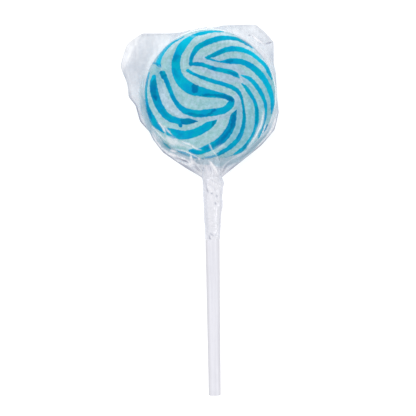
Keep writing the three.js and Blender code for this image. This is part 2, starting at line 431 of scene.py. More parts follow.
class Effects:
    """Shader node groups for the effects that more than one finish uses."""

    _mottle: bpy.types.NodeTree | None = None

    @classmethod
    def mottle_group(cls) -> bpy.types.NodeTree:
        """The group for soft uneven patches, as moulded or boiled things have.

        Returns:
            A group with Size and Unevenness in, and Value (round 0) and Height out.
        """
        if cls._mottle is not None:
            return cls._mottle
        group = bpy.data.node_groups.new("soft_mottle", "ShaderNodeTree")
        for name, default in (("Size", 1.0), ("Unevenness", 0.5)):
            socket = group.interface.new_socket(name, in_out="INPUT", socket_type="NodeSocketFloat")
            socket.default_value = default
        for name in ("Value", "Height"):
            group.interface.new_socket(name, in_out="OUTPUT", socket_type="NodeSocketFloat")
        nodes = Nodes(group)
        given = nodes.add("NodeGroupInput")
        made = nodes.add("NodeGroupOutput")
        place = nodes.add("ShaderNodeTexCoord").outputs["Object"]
        scale = nodes.maths("DIVIDE", 1.0 / MM, given.outputs["Size"])
        noise = nodes.add("ShaderNodeTexNoise", Vector=place, Scale=scale, Detail=3.0)
        around_zero = nodes.maths("SUBTRACT", noise.outputs["Fac"], 0.5)
        value = nodes.maths("MULTIPLY", around_zero, given.outputs["Unevenness"])
        nodes.feed(made.inputs["Value"], value)
        nodes.feed(made.inputs["Height"], noise.outputs["Fac"])
        cls._mottle = group
        return group

    @classmethod
    def mottle(cls, nodes: Nodes, size: float, unevenness: float = 1.0) -> bpy.types.NodeOutputs:
        """Places the mottle in a material.

        Args:
            nodes: The material's nodes.
            size: The width of a patch, in millimetres.
            unevenness: How far its Value swings.

        Returns:
            Its outputs, Value and Height.
        """
        settings = {"node_tree": cls.mottle_group()}
        return nodes.add("ShaderNodeGroup", settings, Size=size, Unevenness=unevenness).outputs


@dataclass(frozen=True)
class Finish(ABC):
    """What every finish has in common: a node material that ends in one shader."""

    name: ClassVar[str]

    @abstractmethod
    def shader(self, nodes: Nodes) -> Socket:
        """Places the finish's nodes, and returns the shader at their end."""

    def material(self) -> bpy.types.Material:
        """The finish as a material.

        Returns:
            The new material.
        """
        material = bpy.data.materials.new(self.name)
        material.use_nodes = True
        material.node_tree.nodes.clear()
        nodes = Nodes(material.node_tree)
        output = nodes.add("ShaderNodeOutputMaterial")
        nodes.feed(output.inputs["Surface"], self.shader(nodes))
        return material


@dataclass(frozen=True)
class SugarFinish(Finish):
    """Boiled sugar: a mint and pearl ground with blue ribbons, with painted light and shade, and painted
    deeper where the film clings to it.
    """

    name = "boiled_sugar"
    mint: Colour = from_screen(162, 205, 207)  # the ground's own colour
    pearl: Colour = from_screen(168, 196, 212)  # the ground by the folds of the swirl
    lit: Colour = from_screen(222, 242, 250)  # the ground's colour where light is painted on it
    painted_shade: Colour = from_screen(112, 178, 198)  # the ground's colour where shade is painted on it
    deep: Colour = from_screen(0, 112, 166)  # the darkest blue of a ribbon
    blue: Colour = from_screen(0, 153, 200)  # the plain blue of a ribbon
    # The greener blue that the plain one drifts to, and that stains the ground.
    teal: Colour = from_screen(0, 168, 196)
    cyan: Colour = from_screen(6, 194, 226)  # the lightest blue of a ribbon
    bubble: Colour = from_screen(90, 138, 146)  # the colour of the small bubbles
    # How much of a ribbon's light is left where film clings to it: painted deeper there, in place of the
    # reflection that the film loses where it touches.
    wet: Colour = (0.4, 0.52, 0.68)
    cling_deepening_ground: Colour = (0.78, 0.87, 0.88)  # how much of the ground's light is left there, painted the same way
    broad_size: float = 3.2  # the width of the broad patches
    patch_size: float = 1.1  # the width of the patches
    grain_size: float = 0.3  # the width of the fine grain
    softness: float = 0.06  # how far a ribbon's edge fades to each side
    fray: float = 0.5  # how far the patches bend a ribbon's edge
    fine_fray: float = 0.11  # how far the grain bends it
    tone_drift: float = 0.35  # how far the patches change a ribbon's tone
    pearliness: float = 0.25  # how pearly the ground is everywhere
    pearl_patches: float = 2.6  # how far the patches change that
    pearl_drift: float = 1.2  # how far the broad patches change that
    patchiness: float = 0.6  # how far the patches lighten and darken the ground
    graininess: float = 0.4  # how far the grain does
    streakiness: float = 0.07  # how far the streaks beside the ribbons do
    stain_reach: float = 0.45  # how far a ribbon stains the ground beside it
    roughness: float = 0.3  # how rough the sugar is
    unevenness: float = 0.3  # how far the patches change that

    def ribbon(self, nodes: Nodes, broad: object, patches: object) -> Socket:
        """The colour of the ribbons, from deep blue over plain blue to cyan.

        Args:
            nodes: The material's nodes.
            broad: The socket of the broad patches.
            patches: The socket of the patches.

        Returns:
            The colour's socket.
        """
        tone = nodes.plus(nodes.mark("tone"), patches, self.tone_drift)
        plain = nodes.blend(nodes.spread(broad, -0.14, 0.14, 0.0, 1.0), self.blue, self.teal)
        low = nodes.blend(nodes.spread(tone, 0.0, Tone.BLUE.value, 0.0, 1.0), self.deep, plain)
        return nodes.blend(nodes.spread(tone, Tone.BLUE.value, 1.0, 0.0, 1.0), low, self.cyan)

    def ground(self, nodes: Nodes, broad: object, patches: object, grain: object) -> Socket:
        """The colour of the ground, with its bubbles, its painted light and shade, and the teal that
        stains it beside the ribbons.

        Args:
            nodes: The material's nodes.
            broad: The socket of the broad patches.
            patches: The socket of the patches.
            grain: The socket of the fine grain.

        Returns:
            The colour's socket.
        """
        pearl = nodes.maths("ADD", nodes.mark("pearl"), self.pearliness)
        pearl = nodes.plus(pearl, patches, self.pearl_patches)
        pearl = nodes.plus(pearl, broad, self.pearl_drift, clamp=True)
        ground = nodes.blend(pearl, self.mint, self.pearl)
        # painted light along the rim's top and under the film's glare, then painted shade on the ground's
        # sides
        ground = nodes.blend(nodes.mark("lit"), ground, self.lit)
        ground = nodes.blend(nodes.mark("painted_shade"), ground, self.painted_shade)
        ground = nodes.shaded(ground, patches, self.patchiness)
        ground = nodes.shaded(ground, grain, self.graininess)
        ground = nodes.shaded(ground, nodes.mark("streak"), self.streakiness)
        ground = nodes.blend(nodes.spread(patches, -0.2, 0.14, 0.1, 0.0), ground, self.teal)
        ground = nodes.blend(nodes.spread(grain, -0.28, -0.19, 0.4, 0.0), ground, self.bubble)
        stain_and_refracted_blue = nodes.spread(nodes.mark("ribbon_edge"), 0.0, self.stain_reach, 0.2, 0.0)
        return nodes.blend(stain_and_refracted_blue, ground, self.teal)

    def shader(self, nodes: Nodes) -> Socket:
        """Places the finish's nodes.

        Args:
            nodes: The material's nodes.

        Returns:
            The shader at their end.
        """
        mottle = Effects.mottle(nodes, self.patch_size)
        patches = mottle["Value"]
        broad = Effects.mottle(nodes, self.broad_size)["Value"]
        grain = Effects.mottle(nodes, self.grain_size)["Value"]
        edge = nodes.plus(nodes.mark("ribbon_edge"), grain, self.fine_fray)
        edge = nodes.plus(edge, patches, self.fray)
        inside = nodes.spread(edge, -self.softness, self.softness, 1.0, 0.0)
        # painted: ribbon and ground deepened where the film clings, in place of the film's lost
        # reflection
        wet = nodes.mark("wet")
        ribbon = self.ribbon(nodes, broad, patches)
        ribbon = nodes.blend(wet, ribbon, nodes.blend(1.0, ribbon, self.wet, "MULTIPLY"))
        ground = self.ground(nodes, broad, patches, grain)
        ground = nodes.blend(wet, ground, nodes.blend(1.0, ground, self.cling_deepening_ground, "MULTIPLY"))
        bump = nodes.add("ShaderNodeBump", Strength=0.2, Distance=0.1 * MM, Height=mottle["Height"])
        return nodes.add(
            "ShaderNodeBsdfPrincipled",
            Base_Color=nodes.blend(inside, ground, ribbon),
            Roughness=nodes.plus(self.roughness, patches, self.unevenness),
            Specular_IOR_Level=0.02,
            Normal=bump.outputs["Normal"],
        ).outputs[0]


@dataclass(frozen=True)
class StickFinish(Finish):
    """Milky white moulded plastic with faint draw lines along it, and shade painted along its two sides.
    """

    name = "moulded_plastic"
    body: Colour = from_screen(239, 238, 244)  # the plastic's colour
    shade: Colour = from_screen(227, 226, 233)  # its colour in the draw lines
    painted_side_shade: Colour = from_screen(203, 202, 207)  # its colour on its two sides, where shade is painted
    gate: Colour = from_screen(176, 178, 186)  # its colour in the gate mark
    line_width: float = 0.7  # the width of a draw line
    line_length: float = 26.0  # the length of a draw line
    patch_size: float = 3.0  # the width of the milky patches

    def shader(self, nodes: Nodes) -> Socket:
        """Places the finish's nodes.

        Args:
            nodes: The material's nodes.

        Returns:
            The shader at their end.
        """
        place = nodes.add("ShaderNodeTexCoord").outputs["Object"]
        across, down = 1.0 / (self.line_width * MM), 1.0 / (self.line_length * MM)
        along = nodes.add("ShaderNodeMapping", Vector=place, Scale=(across, down, across)).outputs[0]
        lines = nodes.add("ShaderNodeTexNoise", Vector=along, Scale=1.0, Detail=2.0).outputs["Fac"]
        patches = Effects.mottle(nodes, self.patch_size, 0.6)["Value"]
        share = nodes.maths("ADD", nodes.spread(lines, 0.3, 0.75, 0.0, 0.75), patches, clamp=True)
        colour = nodes.blend(share, self.body, self.shade)
        # painted shade along the stick's two sides
        colour = nodes.blend(nodes.mark("painted_side_shade"), colour, self.painted_side_shade)
        colour = nodes.blend(nodes.mark("gate"), colour, self.gate)
        bump = nodes.add("ShaderNodeBump", Strength=0.3, Distance=0.05 * MM, Height=lines)
        return nodes.add(
            "ShaderNodeBsdfPrincipled",
            Base_Color=colour,
            Roughness=nodes.spread(lines, 0.3, 0.7, 0.36, 0.5),
            Specular_IOR_Level=0.4,
            Normal=bump.outputs["Normal"],
        ).outputs[0]


@dataclass(frozen=True)
class FilmFinish(Finish):
    """Clear film: a grey haze where flat, with painted highlights on creases, painted shade in valleys
    and the candy's colour painted beside the rim as its reflection.
    """

    name = "clear_film"
    haze: Colour = from_screen(161, 171, 192)  # the film's own colour, where it is seen at all
    white: Colour = from_screen(250, 249, 252)  # the colour of its creases and of the highlights painted along them
    painted_film_shade: Colour = from_screen(130, 129, 147)  # the colour of the shade painted in its valleys and along its hem
    tint: Colour = from_screen(118, 174, 188)  # the candy's colour painted onto the film beside the rim, as its reflection and coloured shadow
    stain_and_refracted_blue: Colour = from_screen(0, 146, 170)  # the candy's blue painted into folds beside the rim, as seen through them by refraction
    patch_size: float = 1.8  # the width of its uneven patches
    patchiness: float = 0.6  # how far they change the haze
    edge_power: float = 1.6  # how fast the haze thickens where the film is seen edge on
    edge_haze: float = 0.5  # how thick it gets there, where the film touches nothing
    thickest: float = 0.96  # the most that the film hides
    lets_through: float = 0.8  # how much of the light that falls through it isn't held up
    metallic: float = 0.08  # how much of it mirrors like foil
    roughness: float = 0.28  # how rough it is
    unevenness: float = 0.12  # how far the patches change that

    def cover(self, nodes: Nodes, total: Socket) -> Socket:
        """How much the film hides: less for the light that falls through it.

        Args:
            nodes: The material's nodes.
            total: The socket of all that shows on the film.

        Returns:
            The share's socket.
        """
        ray = nodes.add("ShaderNodeLightPath").outputs
        falls_through = nodes.maths("MAXIMUM", ray["Is Shadow Ray"], ray["Is Diffuse Ray"])
        falls_through = nodes.maths("MULTIPLY", falls_through, self.lets_through)
        seen = nodes.maths("MINIMUM", total, self.thickest)
        return nodes.maths("MULTIPLY", seen, nodes.maths("SUBTRACT", 1.0, falls_through))

    def shader(self, nodes: Nodes) -> Socket:
        """Places the finish's nodes.

        Args:
            nodes: The material's nodes.

        Returns:
            The shader at their end.
        """
        mottle = Effects.mottle(nodes, self.patch_size)
        facing = nodes.add("ShaderNodeLayerWeight", Blend=0.5).outputs["Facing"]
        loose = nodes.maths("SUBTRACT", 1.0, nodes.mark("touching"))
        loose = nodes.maths("MULTIPLY", loose, self.edge_haze)
        edge_on = nodes.maths("MULTIPLY", nodes.maths("POWER", facing, self.edge_power), loose)
        uneven = nodes.plus(1.0, mottle["Value"], self.patchiness)
        veil = nodes.maths("MULTIPLY", nodes.mark("veil"), uneven)
        crease, shade = nodes.mark("crease"), nodes.mark("shade")
        rim, stain_and_refracted_blue = nodes.mark("painted_rim_reflection"), nodes.mark("stain_and_refracted_blue")
        total = nodes.maths("ADD", nodes.maths("ADD", veil, edge_on), nodes.maths("ADD", crease, shade))
        total = nodes.maths("ADD", nodes.maths("ADD", total, rim), nodes.maths("ADD", stain_and_refracted_blue, 0.001))
        # painted colours over the haze: the candy's reflection beside the rim, shade in the valleys,
        # highlights on the creases
        colour = self.haze
        for part, its_colour in ((rim, self.tint), (shade, self.painted_film_shade), (crease, self.white)):
            colour = nodes.blend(nodes.maths("DIVIDE", part, total, clamp=True), colour, its_colour)
        # the candy's blue painted into folds, as seen through them by refraction
        colour = nodes.blend(stain_and_refracted_blue, colour, self.stain_and_refracted_blue)
        bump = nodes.add("ShaderNodeBump", Strength=0.3, Distance=0.1 * MM, Height=mottle["Height"])
        surface = nodes.add(
            "ShaderNodeBsdfPrincipled",
            Base_Color=colour,
            Metallic=self.metallic,
            Specular_IOR_Level=0.3,
            Roughness=nodes.plus(self.roughness, mottle["Value"], self.unevenness),
            Normal=bump.outputs["Normal"],
        )
        mixed = nodes.add("ShaderNodeMixShader", Fac=self.cover(nodes, total))
        nodes.feed(mixed.inputs[1], nodes.add("ShaderNodeBsdfTransparent").outputs[0])
        nodes.feed(mixed.inputs[2], surface.outputs[0])
        return mixed.outputs[0]


@dataclass(frozen=True)
class TableFinish(Finish):
    """A plain white table top, lit from under so that shadows hardly show on it."""

    name = "white_table"
    white: Colour = (0.5, 0.5, 0.5)  # its colour
    light: Colour = (1.0, 1.0, 1.0)  # the colour of the light in it
    glow: float = 0.66  # how strong that light is

    def shader(self, nodes: Nodes) -> Socket:
        """Places the finish's one node.

        Args:
            nodes: The material's nodes.

        Returns:
            Its shader.
        """
        return nodes.add(
            "ShaderNodeBsdfPrincipled",
            Base_Color=self.white,
            Roughness=0.9,
            Specular_IOR_Level=0.0,
            Emission_Color=self.light,
            Emission_Strength=self.glow,
        ).outputs[0]


# ---- Candy ----


@dataclass(frozen=True)
class Ribbon:
    """One blue ribbon in the candy."""

    stations: Stations  # points x, y and width along the ribbon's middle line
    tones: tuple[Tone, ...] = (Tone.BLUE, Tone.BLUE)  # its tones along the line, evenly spread
    pressed: float = 1.13  # how much wider pressing makes it than its stations
    bleed: float = 0.06  # how far its colour bleeds into the ground on each side

    def edge(self, x: Array, y: Array) -> tuple[Array, Array]:
        """How points lie to the ribbon.

        Args:
            x, y: The points' places.

        Returns:
            The distance to its edge, less than 0 inside it, and the tone there.
        """
        line = smooth_line(np.array(self.stations), 8)
        away, width = line_distance(line, x, y)
        _, share = line_distance(line[:, :2], x, y)
        levels = [tone.value for tone in self.tones]
        tone = np.interp(share, np.linspace(0.0, 1.0, len(levels)), levels)
        return away - self.pressed * width / 2.0 - self.bleed, tone


@dataclass(frozen=True)
class Smear:
    """A soft patch that follows a line."""

    stations: Stations  # points x, y and width along its middle line
    strength: float = 1.0  # its value in the middle

    def at(self, x: Array, y: Array, softness: float) -> Array:
        """The patch's value at points x and y, fading over the softness to each side of its edge."""
        away, width = line_distance(smooth_line(np.array(self.stations), 6), x, y)
        return self.strength * (1.0 - ease(-softness, softness, away - width / 2.0))


def strongest(smears: dict[str, Smear], x: Array, y: Array, softness: float) -> Array:
    """The strongest of some patches at each point.

    Args:
        smears: The patches.
        x, y: The points' places.
        softness: How far their edges fade to each side.

    Returns:
        Values from 0 up.
    """
    return np.max([smear.at(x, y, softness) for smear in smears.values()], axis=0)


def swirl() -> dict[str, Ribbon]:
    """The ribbons of the swirl. The broad S turns back on itself at the right of the disc.

    Returns:
        The ribbons by name.
    """
    deep, blue, bright, cyan = Tone.DEEP, Tone.BLUE, Tone.BRIGHT, Tone.CYAN
    return {
        "broad_sweep": Ribbon((
            (-4.6, 21.5, 0.5), (-6.6, 20.4, 1.6), (-9.2, 18, 2.5), (-11.4, 14, 2.35), (-12, 10, 2.75),
            (-10.8, 6, 3.1), (-7.1, 2.5, 3.6), (-1.5, 0.7, 2.7), (3, -0.1, 1.9), (6, -0.9, 1.6),
            (7.7, -2, 1.8), (7.5, -3.4, 2.1), (6.4, -4.8, 2.1), (4.5, -5.8, 2.1), (0, -6.45, 2.3),
            (-5, -6.75, 2.2), (-9.4, -5.35, 1.8), (-12.5, -2, 1.3), (-14.4, 2.5, 1.3),
            (-15.6, 5.6, 1.4), (-16.7, 7.8, 1.7),
        ), (cyan, cyan, blue, bright, blue, blue, deep, blue, blue, blue, blue, blue, blue)),
        "rim_wisp": Ribbon((
            (-17.4, 10.2, 0.3), (-18.3, 11.8, 1.4), (-17.6, 13.9, 1.3), (-16.2, 16, 1.1),
            (-13.6, 18.5, 0.7), (-9, 21.1, 0.2),
        ), (cyan, bright)),
        "rim_cap": Ribbon((
            (-6, 21.4, 0.6), (-3, 22.1, 1.3), (0.5, 22.7, 0.8), (5.3, 22.8, 0.2),
        ), (bright, cyan)),
        "left_hook": Ribbon((
            (-20, 6.6, 1.4), (-20.2, 4, 2.3), (-19.7, 0.5, 2.5), (-18.3, -3.4, 2.4), (-16.6, -6.2, 2.2),
            (-14.5, -8.2, 2.1), (-12, -9.1, 1.95), (-9.8, -9.5, 1.85), (-7.8, -9.45, 1.9),
            (-4.6, -9.5, 0.2),
        ), (bright, deep, blue, blue, deep)),
        "left_edge": Ribbon((
            (-21.8, 8.2, 0.4), (-22.7, 5, 0.7), (-23, 2.5, 0.8), (-22.8, -2, 0.8), (-22, -6, 1.7),
            (-19.8, -10, 2.2), (-16.8, -13.3, 0.4),
        ), (bright, blue, blue, blue, blue)),
        "outer_edge": Ribbon((
            (-23.6, -1.5, 0.3), (-23.3, -4.5, 0.45), (-22.5, -7.4, 0.3),
        ), (bright, blue)),
        "wisp_foot": Ribbon((
            (-20.5, 11.9, 0.15), (-19.3, 11.6, 0.5), (-18.3, 11.2, 1.2), (-17.3, 10, 0.3),
        ), (bright, blue)),
        "lower_leaf": Ribbon((
            (-14.4, -12.6, 0.6), (-11.8, -14.1, 2.6), (-8, -14.2, 2.7), (-4, -13, 2.5),
            (-0.3, -10.9, 2.3), (1.4, -9.9, 1.3), (2.3, -9.2, 0.2),
        ), (bright, blue, blue)),
        "lower_sweep": Ribbon((
            (9.4, -5.8, 0.3), (8.4, -8, 1.9), (7.6, -11.2, 2.3), (6.5, -13.3, 2.5), (4.9, -15.4, 2.5),
            (2.2, -17.6, 2.4), (-1.5, -19.4, 2.1), (-4.2, -20.3, 1.95), (-7, -20.2, 1.5),
        ), (deep, deep, deep, blue, blue)),
        "inner_wrap": Ribbon((
            (-7.8, 8.8, 1), (-6, 7.7, 0.9), (0, 5.2, 1.2), (6, 3.35, 1.25), (10, 1.2, 1.2),
            (11.5, -1.8, 0.75), (12, -5, 0.75), (12.25, -8.5, 1.05), (11.7, -12, 1.2), (10, -16, 1.4),
            (6.5, -19.3, 1.35), (2.7, -21.5, 1.1),
        ), (bright, blue, deep, blue, deep)),
        "second_wrap": Ribbon((
            (-6.6, 11.1, 1.1), (-3, 10.9, 1.15), (2, 9.2, 1.3), (7, 8.1, 1.5), (9.6, 7, 1.5),
            (10.8, 5.9, 0.3),
        ), (deep, blue, blue)),
        "third_wrap": Ribbon((
            (11.6, 3.8, 0.3), (13.4, 1.8, 1.1), (16.1, -2.8, 0.95), (16.8, -6.5, 1.2),
            (16.6, -10.5, 1.2), (15.6, -14, 0.9), (12.5, -18.8, 1.15), (10.6, -20.7, 1.4),
            (8.8, -21.7, 0.8),
        ), (blue, blue, bright)),
        "fourth_wrap": Ribbon((
            (11.3, 6.8, 0.3), (12.6, 6.3, 0.75), (14.6, 5.3, 1.15), (17.7, 1.5, 1.25), (19.8, -3.2, 1),
            (20, -7.6, 0.7), (19.1, -11.6, 0.5), (18.1, -14.3, 1.4), (17.4, -15.7, 0.5),
        ), (bright, bright, blue, blue, bright)),
        "upper_limb": Ribbon((
            (-1.2, 13.3, 0.5), (2, 14.3, 1.4), (6, 16, 1.6), (10, 16.25, 1.6), (14.5, 14.85, 1.3),
            (18.4, 11.9, 1.15), (20.5, 9.8, 1.3), (21.5, 7.6, 1.15), (22.6, 5.4, 0.3),
        ), (blue, blue, bright, cyan, bright, blue)),
        "lower_limb": Ribbon((
            (-0.8, 13, 0.6), (3.8, 11.8, 0.4), (7.5, 11.9, 1.7), (12, 11.5, 1.65), (17, 8.3, 1.9),
            (20.6, 3.6, 1.75), (22.5, -1.8, 1.35), (22.5, -4.4, 1.1), (22.3, -7, 0.2),
        ), (blue, blue, blue, bright, bright, blue)),
        "crown": Ribbon((
            (-6.5, 11, 1.1), (-6.4, 13, 1.2), (-4.4, 16.5, 1.6), (0, 18.95, 1.75), (5, 20.25, 1.6),
            (10, 19.9, 1.1), (13, 18.5, 0.9), (16, 16.6, 0.2),
        ), (deep, blue, blue, bright, blue, bright)),
        "sliver": Ribbon(((-16.4, -11.9, 0.5), (-15.1, -13.3, 1.7), (-13.2, -14.9, 1.3))),
        "leaf_start": Ribbon((
            (-15, -11.9, 0.3), (-14.1, -12.6, 1.3), (-12.9, -13.3, 2.1), (-11.4, -14, 2.6),
        )),
        "knob": Ribbon(((-17, 8, 1.4), (-16.3, 6.9, 1.9)), (deep, deep)),
        "rim_shadow": Ribbon((
            (-12.2, -19.6, 0.3), (-10.6, -20.6, 1.2), (-8.2, -21.6, 0.8), (-5.6, -22.4, 0.9),
            (-4.2, -22.9, 0.3),
        )),
        "foot_rim": Ribbon((
            (4.5, -23.1, 0.2), (7.4, -22.3, 0.4), (10.4, -21, 0.4), (12.6, -19.7, 0.2),
        ), (bright, blue)),
        "right_streak": Ribbon((
            (20.7, -11.2, 0.3), (20, -12.5, 0.8), (19.1, -13.8, 0.8), (18.4, -14.9, 0.3),
        ), (deep, blue)),
        "hook_drip": Ribbon(((-10.8, -9.9, 1.1), (-10.7, -10.6, 1.2), (-10.6, -11, 1.1))),
        "foot_streak": Ribbon(((2.6, -21.6, 0.7), (1, -22.2, 0.6), (-1, -22.5, 0.6), (-3.5, -23.2, 0.2))),
    }


def contacts() -> dict[str, Smear]:
    """Where the film clings to the face, and the candy's colour is painted deeper in place of the film's
    lost reflection.

    Returns:
        The patches by name.
    """
    return {
        "sweep_block": Smear(((-5.15, 3.2, 2.3), (-5.2, 1.5, 2.2))),
        "sweep_foot": Smear((
            (-3.4, -0.3, 0.2), (-1, -0.1, 0.9), (1.8, -0.2, 0.7), (4, -0.5, 1.2), (6, -1, 1.5),
            (7.7, -1.9, 1.4), (8.1, -2.7, 0.5),
        ), 0.9),
        "return_slant": Smear(((2.3, -4.8, 0.4), (1.3, -5.8, 1), (0, -6.9, 1), (-1.2, -7.4, 0.7)), 0.85),
        "return_foot": Smear((
            (-0.8, -7.4, 0.5), (-4, -7.4, 0.9), (-6.2, -6.9, 0.9), (-8.6, -6.5, 0.5),
        ), 0.75),
        "hook_top": Smear((
            (-19.5, 5.8, 0.8), (-20, 4.4, 2.1), (-20.2, 2.2, 2.2), (-19.9, 0.4, 1.7),
            (-19.3, -1.4, 0.9),
        ), 0.8),
        "hook_bend": Smear(((-17.2, -5.2, 0.8), (-15.6, -7.2, 1.2), (-14.4, -7.9, 0.5)), 0.35),
        "hook_drip": Smear(((-10.6, -10.6, 1), (-10.5, -11.2, 1)), 0.5),
        "hook_tip": Smear(((-9.6, -9.5, 2), (-7.8, -9.45, 1.9), (-4.6, -9.5, 0.2)), 0.85),
        "leaf_tip": Smear(((2.1, -9.3, 0.3), (1.3, -9.9, 1), (0.9, -11, 0.7), (0.6, -11.6, 0.3)), 0.9),
        "leaf_middle": Smear(((-11.6, -14.9, 1.2), (-10.8, -14.2, 0.8), (-9.4, -13.9, 0.3)), 0.35),
        "lower_sweep_top": Smear((
            (9.3, -6.2, 0.4), (8.6, -7.6, 1.3), (8.3, -9.4, 1.5), (7.8, -11.6, 1.1), (6.8, -13.4, 0.4),
        ), 0.75),
        "lower_sweep_foot": Smear((
            (6.6, -13.2, 0.8), (4.9, -15.5, 1.2), (2.4, -17.8, 1.8), (0.9, -18.5, 1.2),
        ), 0.5),
        "lower_sweep_end": Smear(((-0.4, -18.9, 1.2), (-2, -19.4, 1.2)), 0.5),
        "second_spot": Smear(((1.3, 9.5, 1), (2.1, 9.2, 0.9)), 0.7),
        "second_end": Smear(((6.8, 8, 0.5), (8.4, 7.5, 1), (9.8, 6.9, 1.1)), 0.6),
        "limb_spot": Smear(((6, 11.9, 0.7), (7.1, 11.9, 1.4), (8.2, 12, 1)), 0.7),
        "limb_foot": Smear(((-0.6, 13.2, 0.6), (1, 13.8, 1), (3, 14.7, 1.1), (5.4, 15.8, 0.8)), 0.5),
        "crown_bend": Smear(((-6.4, 12.4, 0.8), (-6.2, 13.6, 0.9), (-5, 15.8, 0.4)), 0.4),
        "crown_top": Smear(((-3.2, 17.4, 0.6), (-1, 18.5, 1.1), (1, 19.2, 0.6)), 0.3),
        "sweep_shoulder": Smear(((-12.6, 12.4, 1.2), (-11.8, 13.6, 1.7), (-10.8, 14, 0.6)), 0.5),
        "sweep_side": Smear(((-12.6, 9.4, 0.8), (-12, 7.6, 1.4), (-11, 6, 1.4)), 0.4),
        "knob": Smear(((-17, 8, 1.2), (-16.4, 7, 1.5), (-15.4, 4.6, 0.9), (-14.5, 2, 0.6)), 0.45),
        "return_side": Smear(((-11.2, -3.8, 0.6), (-12.5, -1.9, 1.2), (-13.4, 0, 0.6)), 0.4),
        "inner_start": Smear(((-5, 7.2, 0.6), (-3.4, 6.5, 0.8), (-1.6, 5.8, 0.5)), 0.6),
        "inner_end": Smear(((12.2, -6, 0.7), (12.2, -9, 1), (11.4, -12.6, 0.9), (9.6, -16.2, 0.8)), 0.5),
        "third_middle": Smear(((16.9, -5, 0.9), (16.9, -8, 0.9), (16.6, -10.5, 0.6)), 0.65),
        "third_end": Smear(((13.4, -17.6, 0.5), (12.4, -18.9, 0.9), (11.6, -19.8, 0.5)), 0.7),
        "edge_top": Smear(((-22.6, -3.4, 0.6), (-22, -5.6, 1.4), (-21.2, -8, 0.6)), 0.6),
        "cling_spot_right": Smear(((10.2, 9, 0.2), (11, 8.6, 0.4), (11.8, 8.1, 0.1)), 0.9),
        "cling_spot_above": Smear(((9.2, 10.7, 0.1), (10.2, 10.4, 0.2)), 0.8),
        "cling_spot_middle": Smear(((-0.4, 8.3, 0.2), (0.6, 7.8, 0.2)), 0.8),
        "cling_spot_left": Smear(((-6.6, 6.4, 0.1), (-5.4, 6.2, 0.2)), 0.7),
        "leaf_cling_spot": Smear(((-9.4, -16.2, 0.3), (-8, -16.8, 0.5), (-6.8, -17.2, 0.2)), 0.7),
        "sweep_cling_spot": Smear(((-2.9, -16, 0.2), (-2.3, -14.6, 0.4), (-0.6, -12.8, 0.3)), 0.5),
        "cling_spot_low": Smear(((12.9, -6.2, 0.2), (14.2, -6.8, 0.4), (14.6, -8, 0.2)), 0.6),
    }


def pearly_places() -> dict[str, Smear]:
    """Where the ground turns from mint to pearl, by the folds of the swirl.

    Returns:
        The patches by name.
    """
    return {
        "top_fold": Smear(((-6, 12, 3), (0, 10.5, 6), (8, 7.5, 7), (13, 5, 3)), 1.0),
        "right_fold": Smear(((10.5, 1, 2), (10.2, -4, 2.6), (10.8, -9, 1.6)), 1.0),
        "low_fold": Smear(((-8, -8.3, 1.6), (0, -8.5, 1.8), (7, -7.5, 1.6)), 1.0),
        "left_fold": Smear(((-17.6, 3.5, 1.6), (-16, -1.5, 2.4), (-12.5, -6, 2.4), (-8, -8.2, 1.4)), 1.0),
    }


def painted_light_places() -> dict[str, Smear]:
    """Where light is painted onto the ground: along the rounded rim's top, and where glare off the film
    washes it.

    Returns:
        The patches by name.
    """
    return {
        "top_rim": Smear((
            (-17, 15.5, 2), (-9, 20.5, 3), (0, 21.8, 3), (9, 20, 4), (16.5, 15.2, 4), (20.8, 9.5, 2.6),
        ), 0.55),
        "top_right": Smear(((14.6, 18.2, 1), (18.2, 15.2, 2), (21.2, 10.6, 1.4), (22.6, 6, 0.5)), 0.75),
        "left_fold": Smear(((-16.4, 3, 1), (-16, -1, 2), (-13.6, -5, 2.4), (-10, -7.6, 1.4)), 0.3),
        "right_band": Smear((
            (19.4, -6, 0.4), (18.8, -10, 1.4), (17.6, -12.5, 1.8), (16.4, -14.8, 1.5), (14.6, -17.4, 1),
            (13, -19.2, 0.6),
        ), 0.6),
    }


def painted_shade_places() -> dict[str, Smear]:
    """Where shade is painted onto the ground: its darker right and left sides, and darker lanes between
    the ribbons.

    Returns:
        The patches by name.
    """
    return {
        "right_side": Smear(((20.5, 8, 3), (21, 1, 5), (19, -7, 7), (13.5, -14, 8), (6.5, -18, 4)), 0.5),
        "left_side": Smear((
            (-12.5, 13.5, 2), (-13.8, 9, 3.4), (-14, 5, 2), (-13, 1.6, 2), (-10.4, -1.6, 1),
        ), 0.42),
        "left_lane": Smear(((-18.6, 10.4, 1), (-18.4, 7.4, 1.8), (-17.8, 4, 1.2)), 0.75),
        "inside": Smear(((5, -2.6, 0.8), (1, -3, 1.8), (-3, -3.6, 1)), 0.3),
        "middle_lane": Smear((
            (10.6, -3, 1.2), (10.3, -8, 2.4), (9.5, -12.6, 2.2), (6.8, -17, 1.8), (4, -19.6, 1.2),
        ), 0.75),
        "outer_lane": Smear(((13.4, 4.6, 1), (14.8, 0, 2.2), (14.6, -5, 2.2), (14.2, -9, 1.4)), 0.65),
        "foot": Smear(((3.4, -21.8, 0.8), (6.4, -21, 1.2), (9, -19.4, 0.8)), 0.35),
        "top": Smear(((1.4, 11.6, 0.6), (5, 13.8, 1.2), (10, 14.2, 1.2), (14.2, 12.8, 0.8)), 0.25),
    }


